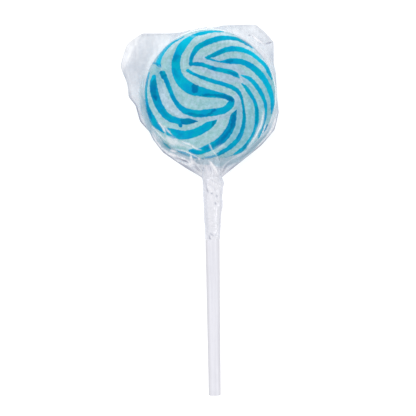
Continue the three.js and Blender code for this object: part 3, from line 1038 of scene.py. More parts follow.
@dataclass
class Candy:
    """The pressed disc of boiled sugar."""

    mid_height: float  # the height of its mid-plane above the table
    radius: float = 23.8  # the disc's radius
    thickness: float = 9.0  # its full thickness
    rim_rounding: float = 3.4  # the radius of its rounded rim
    relief: float = 0.14  # how far the ribbons stand proud of the ground
    shoulder: float = 0.35  # how wide the step at a ribbon's edge is
    sag: float = 0.06  # how uneven the ground is
    sag_size: float = 7.0  # the width of a hollow in it
    ragged: float = 0.2  # how far the edges of clinging film are bent
    cling_softness: float = 0.18  # how far those edges fade to each side
    pearl_softness: float = 1.0  # how far the edges of the pearly places fade
    lane_softness: float = 1.6  # how far the edges of the painted light and painted shade fade
    cells: int = 200  # how many quads lie across one half
    ribbons: dict[str, Ribbon] = field(default_factory=swirl)  # the blue ribbons
    cling: dict[str, Smear] = field(default_factory=contacts)  # where film clings to the face, and the colour is painted deeper
    pearly: dict[str, Smear] = field(default_factory=pearly_places)  # where the ground is pearly
    lit: dict[str, Smear] = field(default_factory=painted_light_places)  # where light is painted on it
    painted_shade: dict[str, Smear] = field(default_factory=painted_shade_places)  # where shade is painted on it

    def square_to_disc(self) -> tuple[Array, Array]:
        """A square grid pressed into a circle.

        Returns:
            For each grid point, its share of the way out and its angle.
        """
        steps = np.linspace(-1.0, 1.0, self.cells + 1)
        u, v = np.meshgrid(steps, steps, indexing="ij")
        out = np.maximum(np.abs(u), np.abs(v))
        sideways = np.abs(u) >= np.abs(v)
        with np.errstate(divide="ignore", invalid="ignore"):
            angle = np.where(sideways, v / u * math.pi / 4.0, math.pi / 2.0 - u / v * math.pi / 4.0)
        angle = np.where(np.where(sideways, u, v) < 0.0, angle + math.pi, angle)
        return out, np.nan_to_num(angle)

    def profile(self, walked: Array) -> tuple[Array, Array, Array]:
        """Where a walk from the face's centre over the rim has got to.

        Args:
            walked: The distance walked.

        Returns:
            The radius, the height above the mid-plane and the slope of the surface in radians.
        """
        flat = self.radius - self.rim_rounding
        quarter = self.rim_rounding * math.pi / 2.0
        turn = np.clip((walked - flat) / self.rim_rounding, 0.0, math.pi / 2.0)
        down = np.maximum(walked - flat - quarter, 0.0)
        radius = np.minimum(walked, flat) + self.rim_rounding * np.sin(turn)
        height = self.thickness / 2.0 - self.rim_rounding * (1.0 - np.cos(turn)) - down
        return radius, height, turn

    def pattern(self, x: Array, y: Array) -> tuple[Array, Array]:
        """How points lie to all the ribbons.

        Args:
            x, y: The points' places.

        Returns:
            The distance to the nearest ribbon's edge, less than 0 inside it, and that ribbon's tone.
        """
        edge = np.full(x.shape, np.inf)
        tone = np.full(x.shape, Tone.BLUE.value)
        for ribbon in self.ribbons.values():
            its_edge, its_tone = ribbon.edge(x, y)
            nearer = its_edge < edge
            edge = np.where(nearer, its_edge, edge)
            tone = np.where(nearer, its_tone, tone)
        return edge, tone

    def half(self, side: int) -> tuple[Array, Marks]:
        """One half of the disc, from the middle of a face to the middle of the rim.

        Args:
            side: 1 for the face and -1 for the back.

        Returns:
            The vertices, and the marks that the finish reads.
        """
        out, angle = self.square_to_disc()
        reach = self.radius - self.rim_rounding + self.rim_rounding * math.pi / 2.0
        reach += self.thickness / 2.0 - self.rim_rounding
        radius, height, slope = self.profile(out * reach)
        x, y = radius * np.cos(angle), radius * np.sin(angle)
        edge, tone = self.pattern(x, y)
        step = self.relief * (ease(0.0, self.shoulder, -edge) - 1.0)
        step = step + self.sag * Ripples(self.sag_size, 11 + side).at(x, y) - self.sag
        radius = radius + step * np.sin(slope)
        height = self.mid_height + side * (height + step * np.cos(slope))
        points = np.stack([radius * np.cos(angle), radius * np.sin(angle), height], axis=-1)
        # where the film clings, the colour is painted deeper
        wet = np.zeros(x.shape)
        if side > 0:
            bend = self.ragged * Ripples(1.3, 5).at(x, y)
            wet = strongest(self.cling, x + bend, y - bend, self.cling_softness)
        marks = {
            "ribbon_edge": edge,
            "tone": tone,
            "pearl": strongest(self.pearly, x, y, self.pearl_softness),
            # painted light and painted shade on the ground
            "lit": strongest(self.lit, x, y, self.lane_softness),
            "painted_shade": strongest(self.painted_shade, x, y, self.lane_softness),
            "wet": wet,
            "streak": Ripples(0.9, 21, 14).at(edge, (x - y) / 9.0),
        }
        return points.reshape(-1, 3), {name: values.ravel() for name, values in marks.items()}

    def build(self) -> bpy.types.Object:
        """Makes the disc as one closed mesh and dresses it.

        Returns:
            The piece.
        """
        face, face_marks = self.half(1)
        back, back_marks = self.half(-1)
        side = self.cells + 1
        numbers = np.arange(side * side).reshape(side, side)
        quads = quads_between(numbers)
        rim = np.concatenate([numbers[:-1, 0], numbers[-1, :-1], numbers[:0:-1, -1], numbers[0, :0:-1]])
        back_number = np.arange(side * side) + side * side
        back_number[rim] = rim
        keep = np.ones(2 * side * side, bool)
        keep[rim + side * side] = False
        renumber = np.cumsum(keep) - 1
        faces = renumber[np.vstack([quads, back_number[quads[:, ::-1]]])].tolist()
        points = np.vstack([face, back])[keep]
        marks = {name: np.concatenate([face_marks[name], back_marks[name]])[keep] for name in face_marks}
        piece = make_piece("candy_disc_striped", points, faces, marks)
        piece.data.materials.append(SugarFinish().material())
        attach(piece, ROOT)
        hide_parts("candy_disc")
        return piece


# ---- Stick ----


@dataclass
class Stick:
    """The moulded stick, tapered from the candy to its tip."""

    mid_height: float  # the height of its axis above the table
    axis_x: float = 0.25  # where its axis runs
    buried_y: float = -3.5  # where it ends inside the candy
    buried_edge: float = 0.3  # how wide the bevelled edge of that end is
    rim_y: float = -23.8  # where it comes out of the candy
    tip_y: float = -108.1  # where it ends
    rim_radius: float = 2.75  # its radius at the candy's rim
    tip_radius: float = 2.15  # its radius at the tip
    tip_rounding: float = 0.35  # the radius of the tip's edge
    gate_radius: float = 0.7  # the radius of the gate mark in the tip
    gate_depth: float = 0.6  # the depth of the gate mark
    gate_lip: float = 0.25  # how wide the mark's lip is
    # How far to the side of the stick its painted shade starts and is full.
    painted_side_shade_reach: tuple[float, float] = (0.5, 0.96)
    painted_side_shade_left: float = 0.9  # how strong the painted shade on the left side is
    painted_side_shade_right: float = 0.7  # how strong the right one is
    rings: int = 44  # how many rings of vertices its body has
    sides: int = 72  # how many vertices a ring has

    def radius_at(self, y: Array | float) -> Array | float:
        """The stick's radius at one place along it."""
        share = np.clip((self.rim_y - y) / (self.rim_y - self.tip_y), 0.0, 1.0)
        return self.rim_radius + share * (self.tip_radius - self.rim_radius)

    def stations(self) -> Array:
        """The profile from the buried end over the tip to the middle of the gate mark.

        Returns:
            Rows of radius, y and how far the place belongs to the gate mark.
        """
        edge, rounding = self.buried_edge, self.tip_rounding
        buried = [(0.0, self.buried_y, 0.0), (self.rim_radius - edge, self.buried_y, 0.0)]
        places = np.linspace(self.buried_y - edge, self.tip_y + rounding, self.rings)
        body = [(self.radius_at(y), y, 0.0) for y in places]
        inner = self.tip_radius - rounding
        tip = [
            (inner + rounding * math.cos(turn), self.tip_y + rounding * (1.0 - math.sin(turn)), 0.0)
            for turn in np.linspace(0.0, math.pi / 2.0, 6)[1:]
        ]
        hole, depth = self.gate_radius, self.gate_depth
        gate = [
            (hole + self.gate_lip, self.tip_y, 0.1),
            (hole, self.tip_y + 0.02, 0.6),
            (hole - 0.1, self.tip_y + 0.6 * depth, 1.0),
            (hole - 0.25, self.tip_y + 0.95 * depth, 1.0),
            (0.0, self.tip_y + depth, 0.9),
        ]
        return np.array(buried + body + tip + gate)

    def painted_side_shade(self, turns: Array) -> Array:
        """How much shade is painted round one ring, most on the stick's two sides."""
        strength = np.where(np.cos(turns) < 0.0, self.painted_side_shade_left, self.painted_side_shade_right)
        return ease(*self.painted_side_shade_reach, np.abs(np.cos(turns))) * strength

    def build(self) -> bpy.types.Object:
        """Makes the stick as one closed mesh and dresses it.

        Returns:
            The piece.
        """
        stations = self.stations()
        turns = np.arange(self.sides) / self.sides * 2.0 * math.pi
        radius, y = stations[:, 0][:, None], stations[:, 1][:, None]
        inner = radius[1:-1] + np.zeros(self.sides)
        height = y[1:-1] + np.zeros(self.sides)
        rings = np.stack([
            self.axis_x + inner * np.cos(turns), height, self.mid_height + inner * np.sin(turns),
        ], axis=-1)
        count = rings.shape[0]
        ends = np.array([
            [self.axis_x, self.buried_y, self.mid_height],
            [self.axis_x, stations[-1, 1], self.mid_height],
        ])
        points = np.vstack([rings.reshape(-1, 3), ends])
        numbers = np.arange(count * self.sides).reshape(count, self.sides)
        faces = quads_between(numbers, closed=True).tolist()
        first, last = len(points) - 2, len(points) - 1
        for side in range(self.sides):
            beside = (side + 1) % self.sides
            faces.append([first, beside, side])
            faces.append([last, (count - 1) * self.sides + side, (count - 1) * self.sides + beside])
        gate = np.concatenate([np.repeat(stations[1:-1, 2], self.sides), [0.0, stations[-1, 2]]])
        painted_side_shade = np.concatenate([np.tile(self.painted_side_shade(turns), count), [0.0, 0.0]])
        piece = make_piece("stick_moulded", points, faces, {"gate": gate, "painted_side_shade": painted_side_shade})
        piece.data.materials.append(StickFinish().material())
        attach(piece, ROOT)
        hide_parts("stick")
        return piece


# ---- Wrapper ----


@dataclass(frozen=True)
class Fold:
    """A named fold in the film."""

    line: Stations  # its points x and y
    height: float  # how far it stands out of the film, or in where negative
    width: float  # how far to each side its facets reach
    shine: float = 0.0  # how white it is along its line as a painted highlight, or how dark where negative as painted shade
    shine_width: float = 0.35  # how wide the white or dark line is

    def at(self, x: Array, y: Array) -> tuple[Array, Array]:
        """What the fold does to the film.

        Args:
            x, y: The points' places.

        Returns:
            How far it lifts them, and how white it makes them, or how dark where negative.
        """
        away, share = line_distance(smooth_line(np.array(self.line), 5), x, y)
        away = np.abs(away + 0.08 * Ripples(1.6, 31).at(x, y) * (away > 0.02))
        ends = ease(0.0, 0.22, share) * (1.0 - ease(0.78, 1.0, share))
        lift = self.height * np.clip(1.0 - away / self.width, 0.0, 1.0)
        line = np.exp(-((away / (self.shine_width * (0.55 + 0.5 * ends))) ** 2))
        shine = self.shine * (0.5 + 0.5 * ends) * (0.85 + 0.2 * Ripples(1.1, 33).at(x, y))
        return lift, shine * line


def drawn(folds: dict[str, Fold], x: Array, y: Array) -> tuple[Array, Array, Array]:
    """What some folds do to the film.

    Args:
        folds: The folds.
        x, y: The points' places.

    Returns:
        How far they lift it, how strong their painted highlights are and how strong the shade painted in
        their valleys is.
    """
    found = [fold.at(x, y) for fold in folds.values()]
    lift = np.sum([lift for lift, _ in found], axis=0)
    shine = [line for _, line in found]
    return lift, np.maximum(np.max(shine, axis=0), 0.0), np.maximum(-np.min(shine, axis=0), 0.0)


def lined(marks: Marks, light: Array, dark: Array) -> Marks:
    """The film's marks with the painted highlights and shade of its folds drawn over them.

    Args:
        marks: The marks that the finish reads.
        light: How strong the painted highlights are.
        dark: How strong the shade painted in the valleys is.

    Returns:
        The marks with the lines.
    """
    crease = np.maximum(marks["crease"] * (1.0 - 0.7 * dark), light)
    under = {name: marks[name] * (1.0 - light) for name in ("veil", "shade", "painted_rim_reflection", "stain_and_refracted_blue")}
    shade = np.maximum(under["shade"], dark * (1.0 - light))
    return {**marks, **under, "crease": crease, "shade": shade}


def front_folds() -> dict[str, Fold]:
    """The folds that show in the front sheet, with the highlights and shade painted along them.

    Returns:
        The folds by name.
    """
    return {
        "left_rim": Fold((
            (-18.9, -9), (-17.6, -10.6), (-16.7, -12), (-15.9, -13.7),
        ), 0.06, 0.6, 0.9, 0.32),
        "left_branch": Fold((
            (-17, -10.4), (-16.1, -11.7), (-15, -12.9), (-13.5, -14.6),
        ), 0.04, 0.6, 0.8, 0.24),
        "left_outer": Fold((
            (-20.9, -13.4), (-19.3, -16.3), (-17.3, -18.9), (-14.4, -20.9),
        ), 0.3, 0.8, 0.75, 0.36),
        "corner_line": Fold(((-20.6, -11), (-17.9, -14.2), (-15.4, -16.4)), 0.1, 0.6, 0.6, 0.34),
        "corner_left": Fold(((-20.4, -13), (-18.8, -16), (-17, -18.4)), 0.1, 0.6, 0.3, 0.24),
        "corner_glint": Fold(((-14.8, -19.4), (-13.4, -20), (-12.2, -20.2)), 0.1, 0.5, 0.8, 0.3),
        "hem_start": Fold((
            (-15.4, -20.5), (-13.4, -21.3), (-11.4, -22), (-9.6, -22.9),
        ), 0.3, 0.8, 1.1, 0.55),
        "upper_hem": Fold(((-11, -21.9), (-8.9, -22.8), (-7, -24.3)), 0.3, 0.8, 1.0, 0.36),
        "lower_hem": Fold(((-12.9, -22.6), (-10.1, -24.1), (-6.8, -25.4)), 0.3, 0.8, 0.9, 0.34),
        "left_valley": Fold(((-12.8, -22.1), (-10.4, -23), (-8, -24.1)), -0.3, 0.7, -1.0, 0.3),
        "long_line": Fold((
            (-10.8, -16.4), (-8.9, -17.3), (-7.2, -17.9), (-5.6, -19), (-3.4, -19.8),
        ), 0.05, 0.5, 0.9, 0.3),
        "long_echo": Fold((
            (-13.4, -19), (-9.1, -20.2), (-5.6, -21.8), (-2.4, -23.6),
        ), 0.1, 0.5, 0.75, 0.28),
        "star_stem": Fold(((-7, -21), (-6.9, -23), (-6.6, -25.2)), 0.3, 0.8, 1.1, 0.42),
        "star": Fold(((-8, -24.7), (-6.7, -24.5), (-5.6, -23.3)), 0.3, 0.8, 1.1, 0.95),
        "star_tail": Fold(((-6.4, -24.6), (-5, -26.2), (-3.8, -27.6)), -0.2, 0.6, -0.55, 0.3),
        "star_tail_right": Fold(((-5.6, -24), (-4.1, -26), (-2.8, -27.6)), 0.2, 0.6, 0.55, 0.3),
        "sweep_line": Fold((
            (-0.6, -17.2), (0.3, -19.2), (1.4, -20.8), (2.4, -22.2),
        ), 0.05, 0.5, 0.5, 0.28),
        "rim_spot": Fold(((-4.5, -22.6), (-3.7, -23)), 0.1, 0.6, 0.8, 0.5),
        "funnel_line": Fold((
            (-0.6, -23.6), (0.6, -25.2), (1.5, -26.8), (2.3, -28.8),
        ), 0.35, 0.9, 1.2, 0.55),
        "funnel_left": Fold(((-3, -24.6), (-1.6, -26.4), (-0.8, -28.8)), 0.2, 0.7, 0.5, 0.4),
        "funnel_middle": Fold(((-1.8, -24.4), (-0.2, -26.4), (0.4, -28.8)), -0.2, 0.6, -0.3, 0.3),
        "foot_right": Fold(((12.4, -20.4), (8, -22.8), (5.4, -24.6), (3.8, -27)), 0.25, 0.8, 0.5, 0.34),
        "right_flank": Fold(((9.6, -24.2), (6.8, -25.8), (4.6, -28.4)), 0.25, 0.8, 0.45, 0.4),
        "right_valley": Fold(((7.6, -24.4), (5.2, -26.2), (4, -28.4)), -0.2, 0.6, -0.4, 0.34),
        "right_band": Fold((
            (19.2, -6.2), (18.6, -10), (16.6, -14.4), (13.4, -18.9),
        ), 0.1, 0.8, 0.8, 0.35),
        "streak_line": Fold(((20, -10.6), (19.1, -12.9), (17.9, -15.2)), 0.1, 0.5, 0.8, 0.22),
        "right_hem": Fold(((23.6, -8.4), (22.4, -11.8), (19.6, -15.4)), 0.2, 0.6, 0.7, 0.3),
        "ear_line": Fold(((15.4, 21.2), (17.4, 19.4), (19.6, 18)), 0.4, 1.4, 1.2, 0.4),
        "ear_mark": Fold(((20, 18.1), (21.4, 18.5), (22.8, 18.9)), -0.3, 0.8, -0.55, 0.22),
        "ear_dot": Fold(((14.3, 21.3), (14.9, 21)), -0.1, 0.3, -0.6, 0.25),
        "face_line": Fold(((10.7, 7.2), (11.2, 5.6), (11.8, 3.6)), 0.05, 0.5, 0.4, 0.22),
        "patch_edge": Fold(((-18.3, 10.9), (-17.6, 10.2), (-16.9, 8.7)), 0.05, 0.5, 0.3, 0.18),
    }


def ear_folds() -> dict[str, Fold]:
    """The folds that bend both sheets of the bag together.

    Returns:
        The folds by name.
    """
    return {
        "left_ear": Fold(((-24.1, 22.1), (-27.2, 16.2), (-30.6, 10.2)), 1.3, 4.0),
        "left_pleat": Fold(((-20.2, 21), (-20.6, 14), (-23, 6)), -0.9, 3.0),
        "right_ear": Fold(((19.5, 18), (21.2, 18.6), (23, 19)), -0.5, 1.6),
    }


def milky_glare_places() -> dict[str, Smear]:
    """Where the front sheet is painted milky white: partly where it is folded over itself, and partly
    where glare is painted on it.

    Returns:
        The patches by name.
    """
    return {
        "corner": Smear((
            (-15.4, -15.2, 1.2), (-13.9, -16.2, 2.8), (-11.4, -17.4, 1.3), (-9, -18.4, 0.5),
            (-7, -19.1, 0.2),
        ), 0.5),
        "rim_shadow": Smear(((-12, -19.9, 0.6), (-9.6, -21, 1.2), (-5.4, -22.5, 0.6)), 0.28),
        "top_glint": Smear(((-7, 21.6, 0.2), (-5.4, 20.8, 0.3)), 0.3),
        "upper_right": Smear((
            (9.6, 21.6, 0.4), (14.8, 18.4, 0.8), (18.8, 14.6, 0.8), (21.2, 10.4, 0.4),
        ), 0.55),
        "sweep_patch": Smear(((1.8, -19.5, 0.8), (3.4, -18.9, 1.2), (4.8, -18.4, 0.8)), 0.35),
        "low_band": Smear((
            (-14.2, -21, 0.8), (-11, -22, 0.6), (-6, -23.8, 1.2), (-1, -24.2, 2), (5, -23.9, 1.6),
        ), 0.45),
        "right_band": Smear((
            (19.2, -6.8, 0.3), (18.6, -10, 1.1), (17.6, -12.5, 1.8), (16.6, -14.8, 1.3), (15, -17, 1),
            (13.6, -18.8, 0.8),
        ), 0.32),
    }


def clear_places() -> dict[str, Smear]:
    """Where the front sheet clings to the candy's rim and hides nothing.

    Returns:
        The patches by name.
    """
    return {
        "left_rim": Smear(((-18.6, -14.2, 0.8), (-16.9, -16.3, 1.2), (-15, -18, 1)), 0.7),
        "low_rim": Smear(((-12, -19.8, 0.4), (-9.6, -21, 0.8), (-5.6, -22.6, 0.6)), 0.6),
        "foot": Smear(((-1.8, -22.6, 0.4), (0.2, -22.4, 0.8), (2.2, -21.9, 0.6)), 0.7),
        "right_foot": Smear(((8.8, -21.6, 0.6), (11, -20.4, 1), (13, -19, 0.6)), 0.6),
        "right_rim": Smear(((22.3, 6, 0.4), (22.8, 2, 0.6), (22.6, -2, 0.8), (22.1, -5.5, 0.6)), 0.85),
        "right_streak": Smear(((20.4, -11.2, 0.5), (19.8, -12.9, 0.8), (18.6, -14.8, 0.5)), 0.9),
        "wrap_tail": Smear(((19.3, -10.5, 0.2), (18.4, -13.5, 0.6), (17.6, -15.2, 0.3)), 0.9),
        "left_edge": Smear((
            (-21.7, 8.2, 0.8), (-22.8, 3, 0.9), (-22.6, -2, 0.9), (-21.9, -6, 1), (-19.6, -10.6, 0.8),
        ), 0.9),
    }


def refracted_blue_places() -> dict[str, Smear]:
    """Where the blue of the candy's side is painted into folds of the front sheet beside the rim, as seen
    through them by refraction.

    Returns:
        The patches by name.
    """
    return {
        "left_streak": Smear((
            (-17.3, -16.4, 0.2), (-16.5, -17.4, 0.7), (-15.6, -18.3, 0.9), (-14.3, -19.3, 0.2),
        ), 1),
        "left_shadow": Smear(((-18.2, -15, 0.1), (-17.2, -16.2, 0.3), (-16, -17, 0.1)), 0.4),
        "low_patch": Smear(((-11.6, -20.3, 0.2), (-9.4, -21.1, 0.5), (-7.6, -21.8, 0.2)), 0.3),
        "star_patch": Smear(((-6.2, -22.9, 0.1), (-5.2, -23.5, 0.4), (-4.4, -23.4, 0.1)), 0.4),
        "foot_patch": Smear(((-3.6, -22.9, 0.1), (-1.6, -22.8, 0.3), (1, -22.5, 0.1)), 0.3),
        "right_streak": Smear((
            (20.9, -11, 0.1), (20.2, -12.5, 0.3), (19.4, -13.9, 0.3), (18.6, -15, 0.1),
        ), 0.5),
    }


def neck_lines() -> dict[str, Fold]:
    """The folds that show on the front of the gathered neck, with the highlights and shade painted along
    them.

    Returns:
        The folds by name.
    """
    return {
        "bright_streak": Fold((
            (-1.2, -32.2), (-0.8, -33.4), (0, -34.6), (0.6, -35.2),
        ), 0.15, 0.6, 1.0, 0.5),
        "dark_streak": Fold(((-1.9, -31.4), (-1.6, -33.4), (-1, -35.3)), -0.1, 0.4, -0.8, 0.3),
        "left_speck": Fold(((0, -34.9), (0.4, -35.7)), -0.1, 0.3, -0.9, 0.3),
        "middle_speck": Fold(((1.8, -35.8), (2.3, -36.9)), -0.1, 0.3, -0.75, 0.34),
        "right_speck": Fold(((1.3, -38.4), (1.6, -39.5)), -0.1, 0.3, -0.65, 0.3),
        "upper_spot": Fold(((1.8, -31.7), (2.1, -32.7)), 0.1, 0.3, 1.0, 0.42),
        "right_spot": Fold(((2.9, -32.3), (3.3, -33.1)), 0.1, 0.3, 1.0, 0.4),
        "top_spot": Fold(((1.9, -29.2), (2.7, -30.2)), 0.1, 0.4, 1.0, 0.5),
        "top_pleat": Fold(((-1, -28.8), (1, -30.4), (3.2, -31.6)), 0.15, 0.7, 0.7, 0.4),
        "second_pleat": Fold(((-1.6, -30.4), (0.6, -31.8), (2.6, -33.6)), 0.15, 0.7, 0.6, 0.4),
        "top_valley": Fold(((-1.4, -29.6), (0.8, -31.1), (3, -32.4)), -0.15, 0.6, -0.3, 0.3),
        "second_valley": Fold(((-1.2, -31.8), (0.8, -33.4), (2, -35)), -0.15, 0.6, -0.25, 0.3),
        "left_border": Fold((
            (-2.3, -28.9), (-2.1, -33), (-1.9, -44), (-1.5, -51.9),
        ), 0.0, 0.3, -0.3, 0.8),
        "right_border": Fold((
            (3.9, -31), (3.5, -36), (3.4, -42), (2.9, -47), (2.6, -51.5),
        ), 0.0, 0.3, -0.3, 0.4),
        "end_curl": Fold(((-1.1, -49.9), (-0.8, -50.8), (-0.3, -51.6)), -0.1, 0.4, -0.8, 0.26),
        "end_spot": Fold(((-0.2, -50.4), (0, -51.3)), 0.1, 0.3, 1.0, 0.42),
        "end_left": Fold(((-1, -49.2), (0, -50), (0.7, -50.8)), -0.1, 0.4, -0.6, 0.24),
        "end_right": Fold(((2.2, -48.6), (1.6, -49.8), (1.3, -50.8)), -0.1, 0.4, -0.6, 0.24),
        "end_shine": Fold(((1.2, -48.2), (1.9, -49), (2, -50.6)), 0.1, 0.4, 0.9, 0.36),
    }


def crumpled(x: Array, y: Array, seed: int) -> Array:
    """Film crumpled at three sizes.

    Args:
        x, y: The points' places.
        seed: The seed of the random draws.

    Returns:
        Values from about -1 to 1.
    """
    coarse = Facets(5.2, seed).at(x, y)
    middle = Facets(2.6, seed + 10).at(x, y)
    fine = Facets(1.2, seed + 20).at(x, y)
    return 0.6 * coarse + 0.28 * middle + 0.12 * fine


@dataclass
class Sheet:
    """One sheet of the bag, from the middle of the candy's face to the seam."""

    bag: Wrapper  # the bag that it belongs to
    side: int  # 1 for the front sheet and -1 for the back one
    radius: Array  # how far out its points lie, one row a ring
    half: Array  # how far from the mid-plane they lie before the sheet is creased
    share: Array  # their share of the free stretch between the candy's rim and the seam
    angle: Array  # the bearing of each spoke

    def __post_init__(self) -> None:
        """Finds the points' places, and the creases that shape and marks share."""
        self.x, self.y = self.radius * np.cos(self.angle), self.radius * np.sin(self.angle)
        self.crumple = crumpled(self.x, self.y, 100 + self.side)
        self.wrinkles = Facets(1.0, 400 + self.side, 0.3).at(self.x / 1.3, self.y / 5.0)
        hem = self.hem_folds() * (1.0 - self.funnel) * ease(0.0, 0.1, self.share)
        self.pleats = self.neck_pleats() * (0.4 + 0.6 * self.funnel) + hem

    @property
    def at_neck(self) -> Array:
        """How near points are to the gathered neck."""
        return ease(-17.0, -26.0, self.y)

    @property
    def at_mouth(self) -> Array:
        """How near points are to the bag's mouth."""
        return ease(-26.0, -29.4, self.y)

    @property
    def low(self) -> Array:
        """How low on the disc points are."""
        return ease(-13.0, -20.0, self.y)

    @property
    def skirt(self) -> Array:
        """0 on the candy's face and 1 beyond its rim."""
        return ease(0.0, 0.15, self.share)

    @property
    def low_rim(self) -> Array:
        """How near points are to the lower half of the rim, where the film is drawn together."""
        return ease(-8.0, -20.0, self.y - 0.2 * self.x) * ease(15.0, 21.0, self.radius)

    @property
    def funnel(self) -> Array:
        """How near points are to the funnel between the disc and the neck."""
        return ease(-19.0, -25.0, self.y) * ease(13.0, 6.0, np.abs(self.x))

    def neck_pleats(self) -> Array:
        """Pleats that run to the gathered neck.

        Returns:
            Values from about -1 to 1.
        """
        from_neck_x, from_neck_y = self.x - 0.5, self.y - self.bag.neck_y + 3.0
        bearing = np.arctan2(from_neck_x, from_neck_y)
        away = np.hypot(from_neck_x, from_neck_y)
        broad = Facets(1.0, 200 + self.side, 0.2).at(bearing * 6.0, away / 14.0)
        middle = Facets(1.0, 207 + self.side, 0.2).at(bearing * 14.0, away / 9.0)
        narrow = Facets(1.0, 209 + self.side, 0.2).at(bearing * 34.0, away / 8.0)
        return 0.45 * broad + 0.35 * middle + 0.3 * narrow

    def hem_folds(self) -> Array:
        """Long folds that follow the hem round the candy.

        Returns:
            Values from about -1 to 1.
        """
        broad = Facets(1.0, 150 + self.side, 0.2).at(self.share * 4.5, self.angle * 3.0)
        narrow = Facets(1.0, 155 + self.side, 0.2).at(self.share * 10.0, self.angle * 4.0)
        return 0.6 * broad + 0.45 * narrow

    def smooth(self) -> Array:
        """The sheet with its broad waves and its bent ears, before it is creased.

        Returns:
            The vertices, one row a ring.
        """
        loose = self.bag.looseness(self.radius)
        wave = 0.6 * np.sin(3.0 * self.angle + 0.8) + 0.4 * np.sin(7.0 * self.angle)
        lift = self.bag.seam_wave * wave * self.share * self.share * loose * (1.0 - self.at_neck)
        buckle = 0.55 * loose * ease(0.0, 0.5, self.share) * (1.0 - self.at_neck)
        lift = lift + buckle * crumpled(self.x, self.y, 3)
        for fold in ear_folds().values():
            lift = lift + fold.at(self.x, self.y)[0] * ease(0.0, 0.3, self.share)
        return np.stack([self.x, self.y, self.side * self.half + lift], axis=-1)

    def creases(self) -> Array:
        """How far the creases stand out of the smooth sheet.

        Returns:
            The heights, one row a ring.
        """
        rim = self.bag.candy.radius
        over_face = 1.0 - ease(rim - 3.0, rim + 0.5, self.radius)
        between = ease(0.0, 0.25, self.share) * (1.0 - ease(0.8, 1.0, self.share))
        out = between * 0.4 * self.crumple * (1.0 - self.at_neck)
        out = out + between * 0.22 * self.wrinkles * (1.0 - self.low_rim)
        drawn_in = (0.12 + 0.34 * between) * self.low_rim * self.pleats
        out = out + drawn_in * (1.0 - ease(0.85, 1.0, self.share))
        out = out + over_face * 0.06 * crumpled(self.x, self.y, 300 + self.side)
        return out + 0.12 * self.low_rim

    def veil(self) -> Array:
        """How much haze shows: more at the sides and the shoulder, less at the top and the mouth, and
        less beyond the left ear's crease, where light is painted on that facet.

        Returns:
            The values, one row a ring.
        """
        x, y, skirt = self.x, self.y, self.skirt
        right_side = ease(13.0, 20.0, x) * ease(6.0, 12.0, y) * ease(21.5, 18.5, y)
        at_sides = ease(-16.0, -23.0, x) + 1.4 * right_side
        at_shoulder = ease(15.0, 10.0, y) * ease(1.0, 6.0, y) * ease(-17.0, -21.0, x)
        at_top = ease(15.0, 20.0, y) * (ease(-11.0, -16.0, x) + 0.4 * ease(14.0, 17.0, x))
        creased = 0.07 * self.wrinkles * (1.0 - self.low_rim) + 0.05 * self.crumple
        veil = 0.002 + skirt * (0.225 + creased)
        veil = veil + skirt * (0.05 * at_sides + 0.06 * at_shoulder - 0.06 * at_top)
        veil = veil - skirt * (0.12 * self.beyond_ear_crease() + 0.05 * ease(-27.0, -30.0, x))
        return veil * (1.0 - 0.7 * self.at_mouth)

    def beyond_ear_crease(self) -> Array:
        """How far points lie beyond the crease that cuts off the left ear's corner."""
        beyond = (self.y - 10.4) * 0.462 - (self.x + 30.2) * 0.886
        return ease(-0.2, 0.5, beyond) * (self.x < -20.0)

    def painted_rim_reflection(self) -> Array:
        """How strongly the candy's colour is painted onto the film beside the rim, as its reflection and
        coloured shadow there.

        Returns:
            The values, one row a ring.
        """
        x, y, low = self.x, self.y, self.low
        rim = self.bag.candy.radius
        at_foot = low * ease(0.0, 4.0, x) * ease(13.0, 7.0, x)
        at_corner = ease(-14.0, -17.0, x) * low
        at_left = ease(-3.0, -9.0, x) * low
        at_right = ease(10.0, 18.0, x) * ease(-15.0, -9.0, y)
        at_low_right = ease(6.0, 11.0, x) * ease(-10.0, -15.0, y)
        beside_foot = at_low_right * ease(18.0, 14.0, x)
        beside_rim = at_low_right - beside_foot
        inner, outer = rim + 0.8, rim + 1.6
        outer = outer + 0.5 * ease(2.0, -12.0, x) * (1.0 - low) + 2.2 * at_foot
        outer = outer + 0.8 * (at_corner + beside_foot) - 0.3 * beside_rim
        fading = ease(0.0, 1.0, (self.radius - inner) / (outer - inner))
        near_rim = ease(rim - 1.0, rim, self.radius) * (1.0 - fading)
        strength = 0.5 - 0.25 * at_right - 0.2 * at_left + 0.42 * at_corner + 0.3 * low
        strength = strength + 0.26 * self.pleats + 0.15 * beside_foot + 0.12 * beside_rim
        return np.clip(near_rim * ease(12.0, 0.0, y) * strength, 0.0, 0.8)

    def marks(self) -> Marks:
        """The marks of the sheet's own creases, with highlights painted on its pleats' ridges and shade
        painted in their valleys and along the hem.

        Returns:
            The marks that the finish reads, one row a ring.
        """
        nothing = np.zeros(self.x.shape)
        # painted highlights on the pleats' ridges and at the mouth; painted shade in their valleys and
        # along the hem
        white = 0.1 * self.skirt + 0.12 * self.at_neck * self.skirt + 0.4 * ease(0.1, 0.7, self.pleats)
        hem = ease(0.82, 0.94, self.share) * (1.0 - 0.7 * self.at_mouth)
        marks = {
            "veil": self.veil(),
            "crease": self.low_rim * white + 0.3 * self.at_mouth,
            "shade": 0.2 * self.low_rim * ease(0.1, 0.7, -self.pleats)
            + (0.06 + 0.4 * ease(4.0, -8.0, self.y)) * hem,
            "painted_rim_reflection": self.painted_rim_reflection(),
            "stain_and_refracted_blue": nothing,
        }
        if self.side < 0:
            beside = ease(24.0, 26.5, self.radius)
            marks = {name: values * beside for name, values in marks.items()}
            marks["painted_rim_reflection"] = nothing
        top_hem = ease(0.8, 0.95, self.share) * ease(15.0, 20.0, self.y)
        marks["touching"] = 0.9 * ease(0.14, 0.02, self.share) + 0.7 * top_hem
        return marks

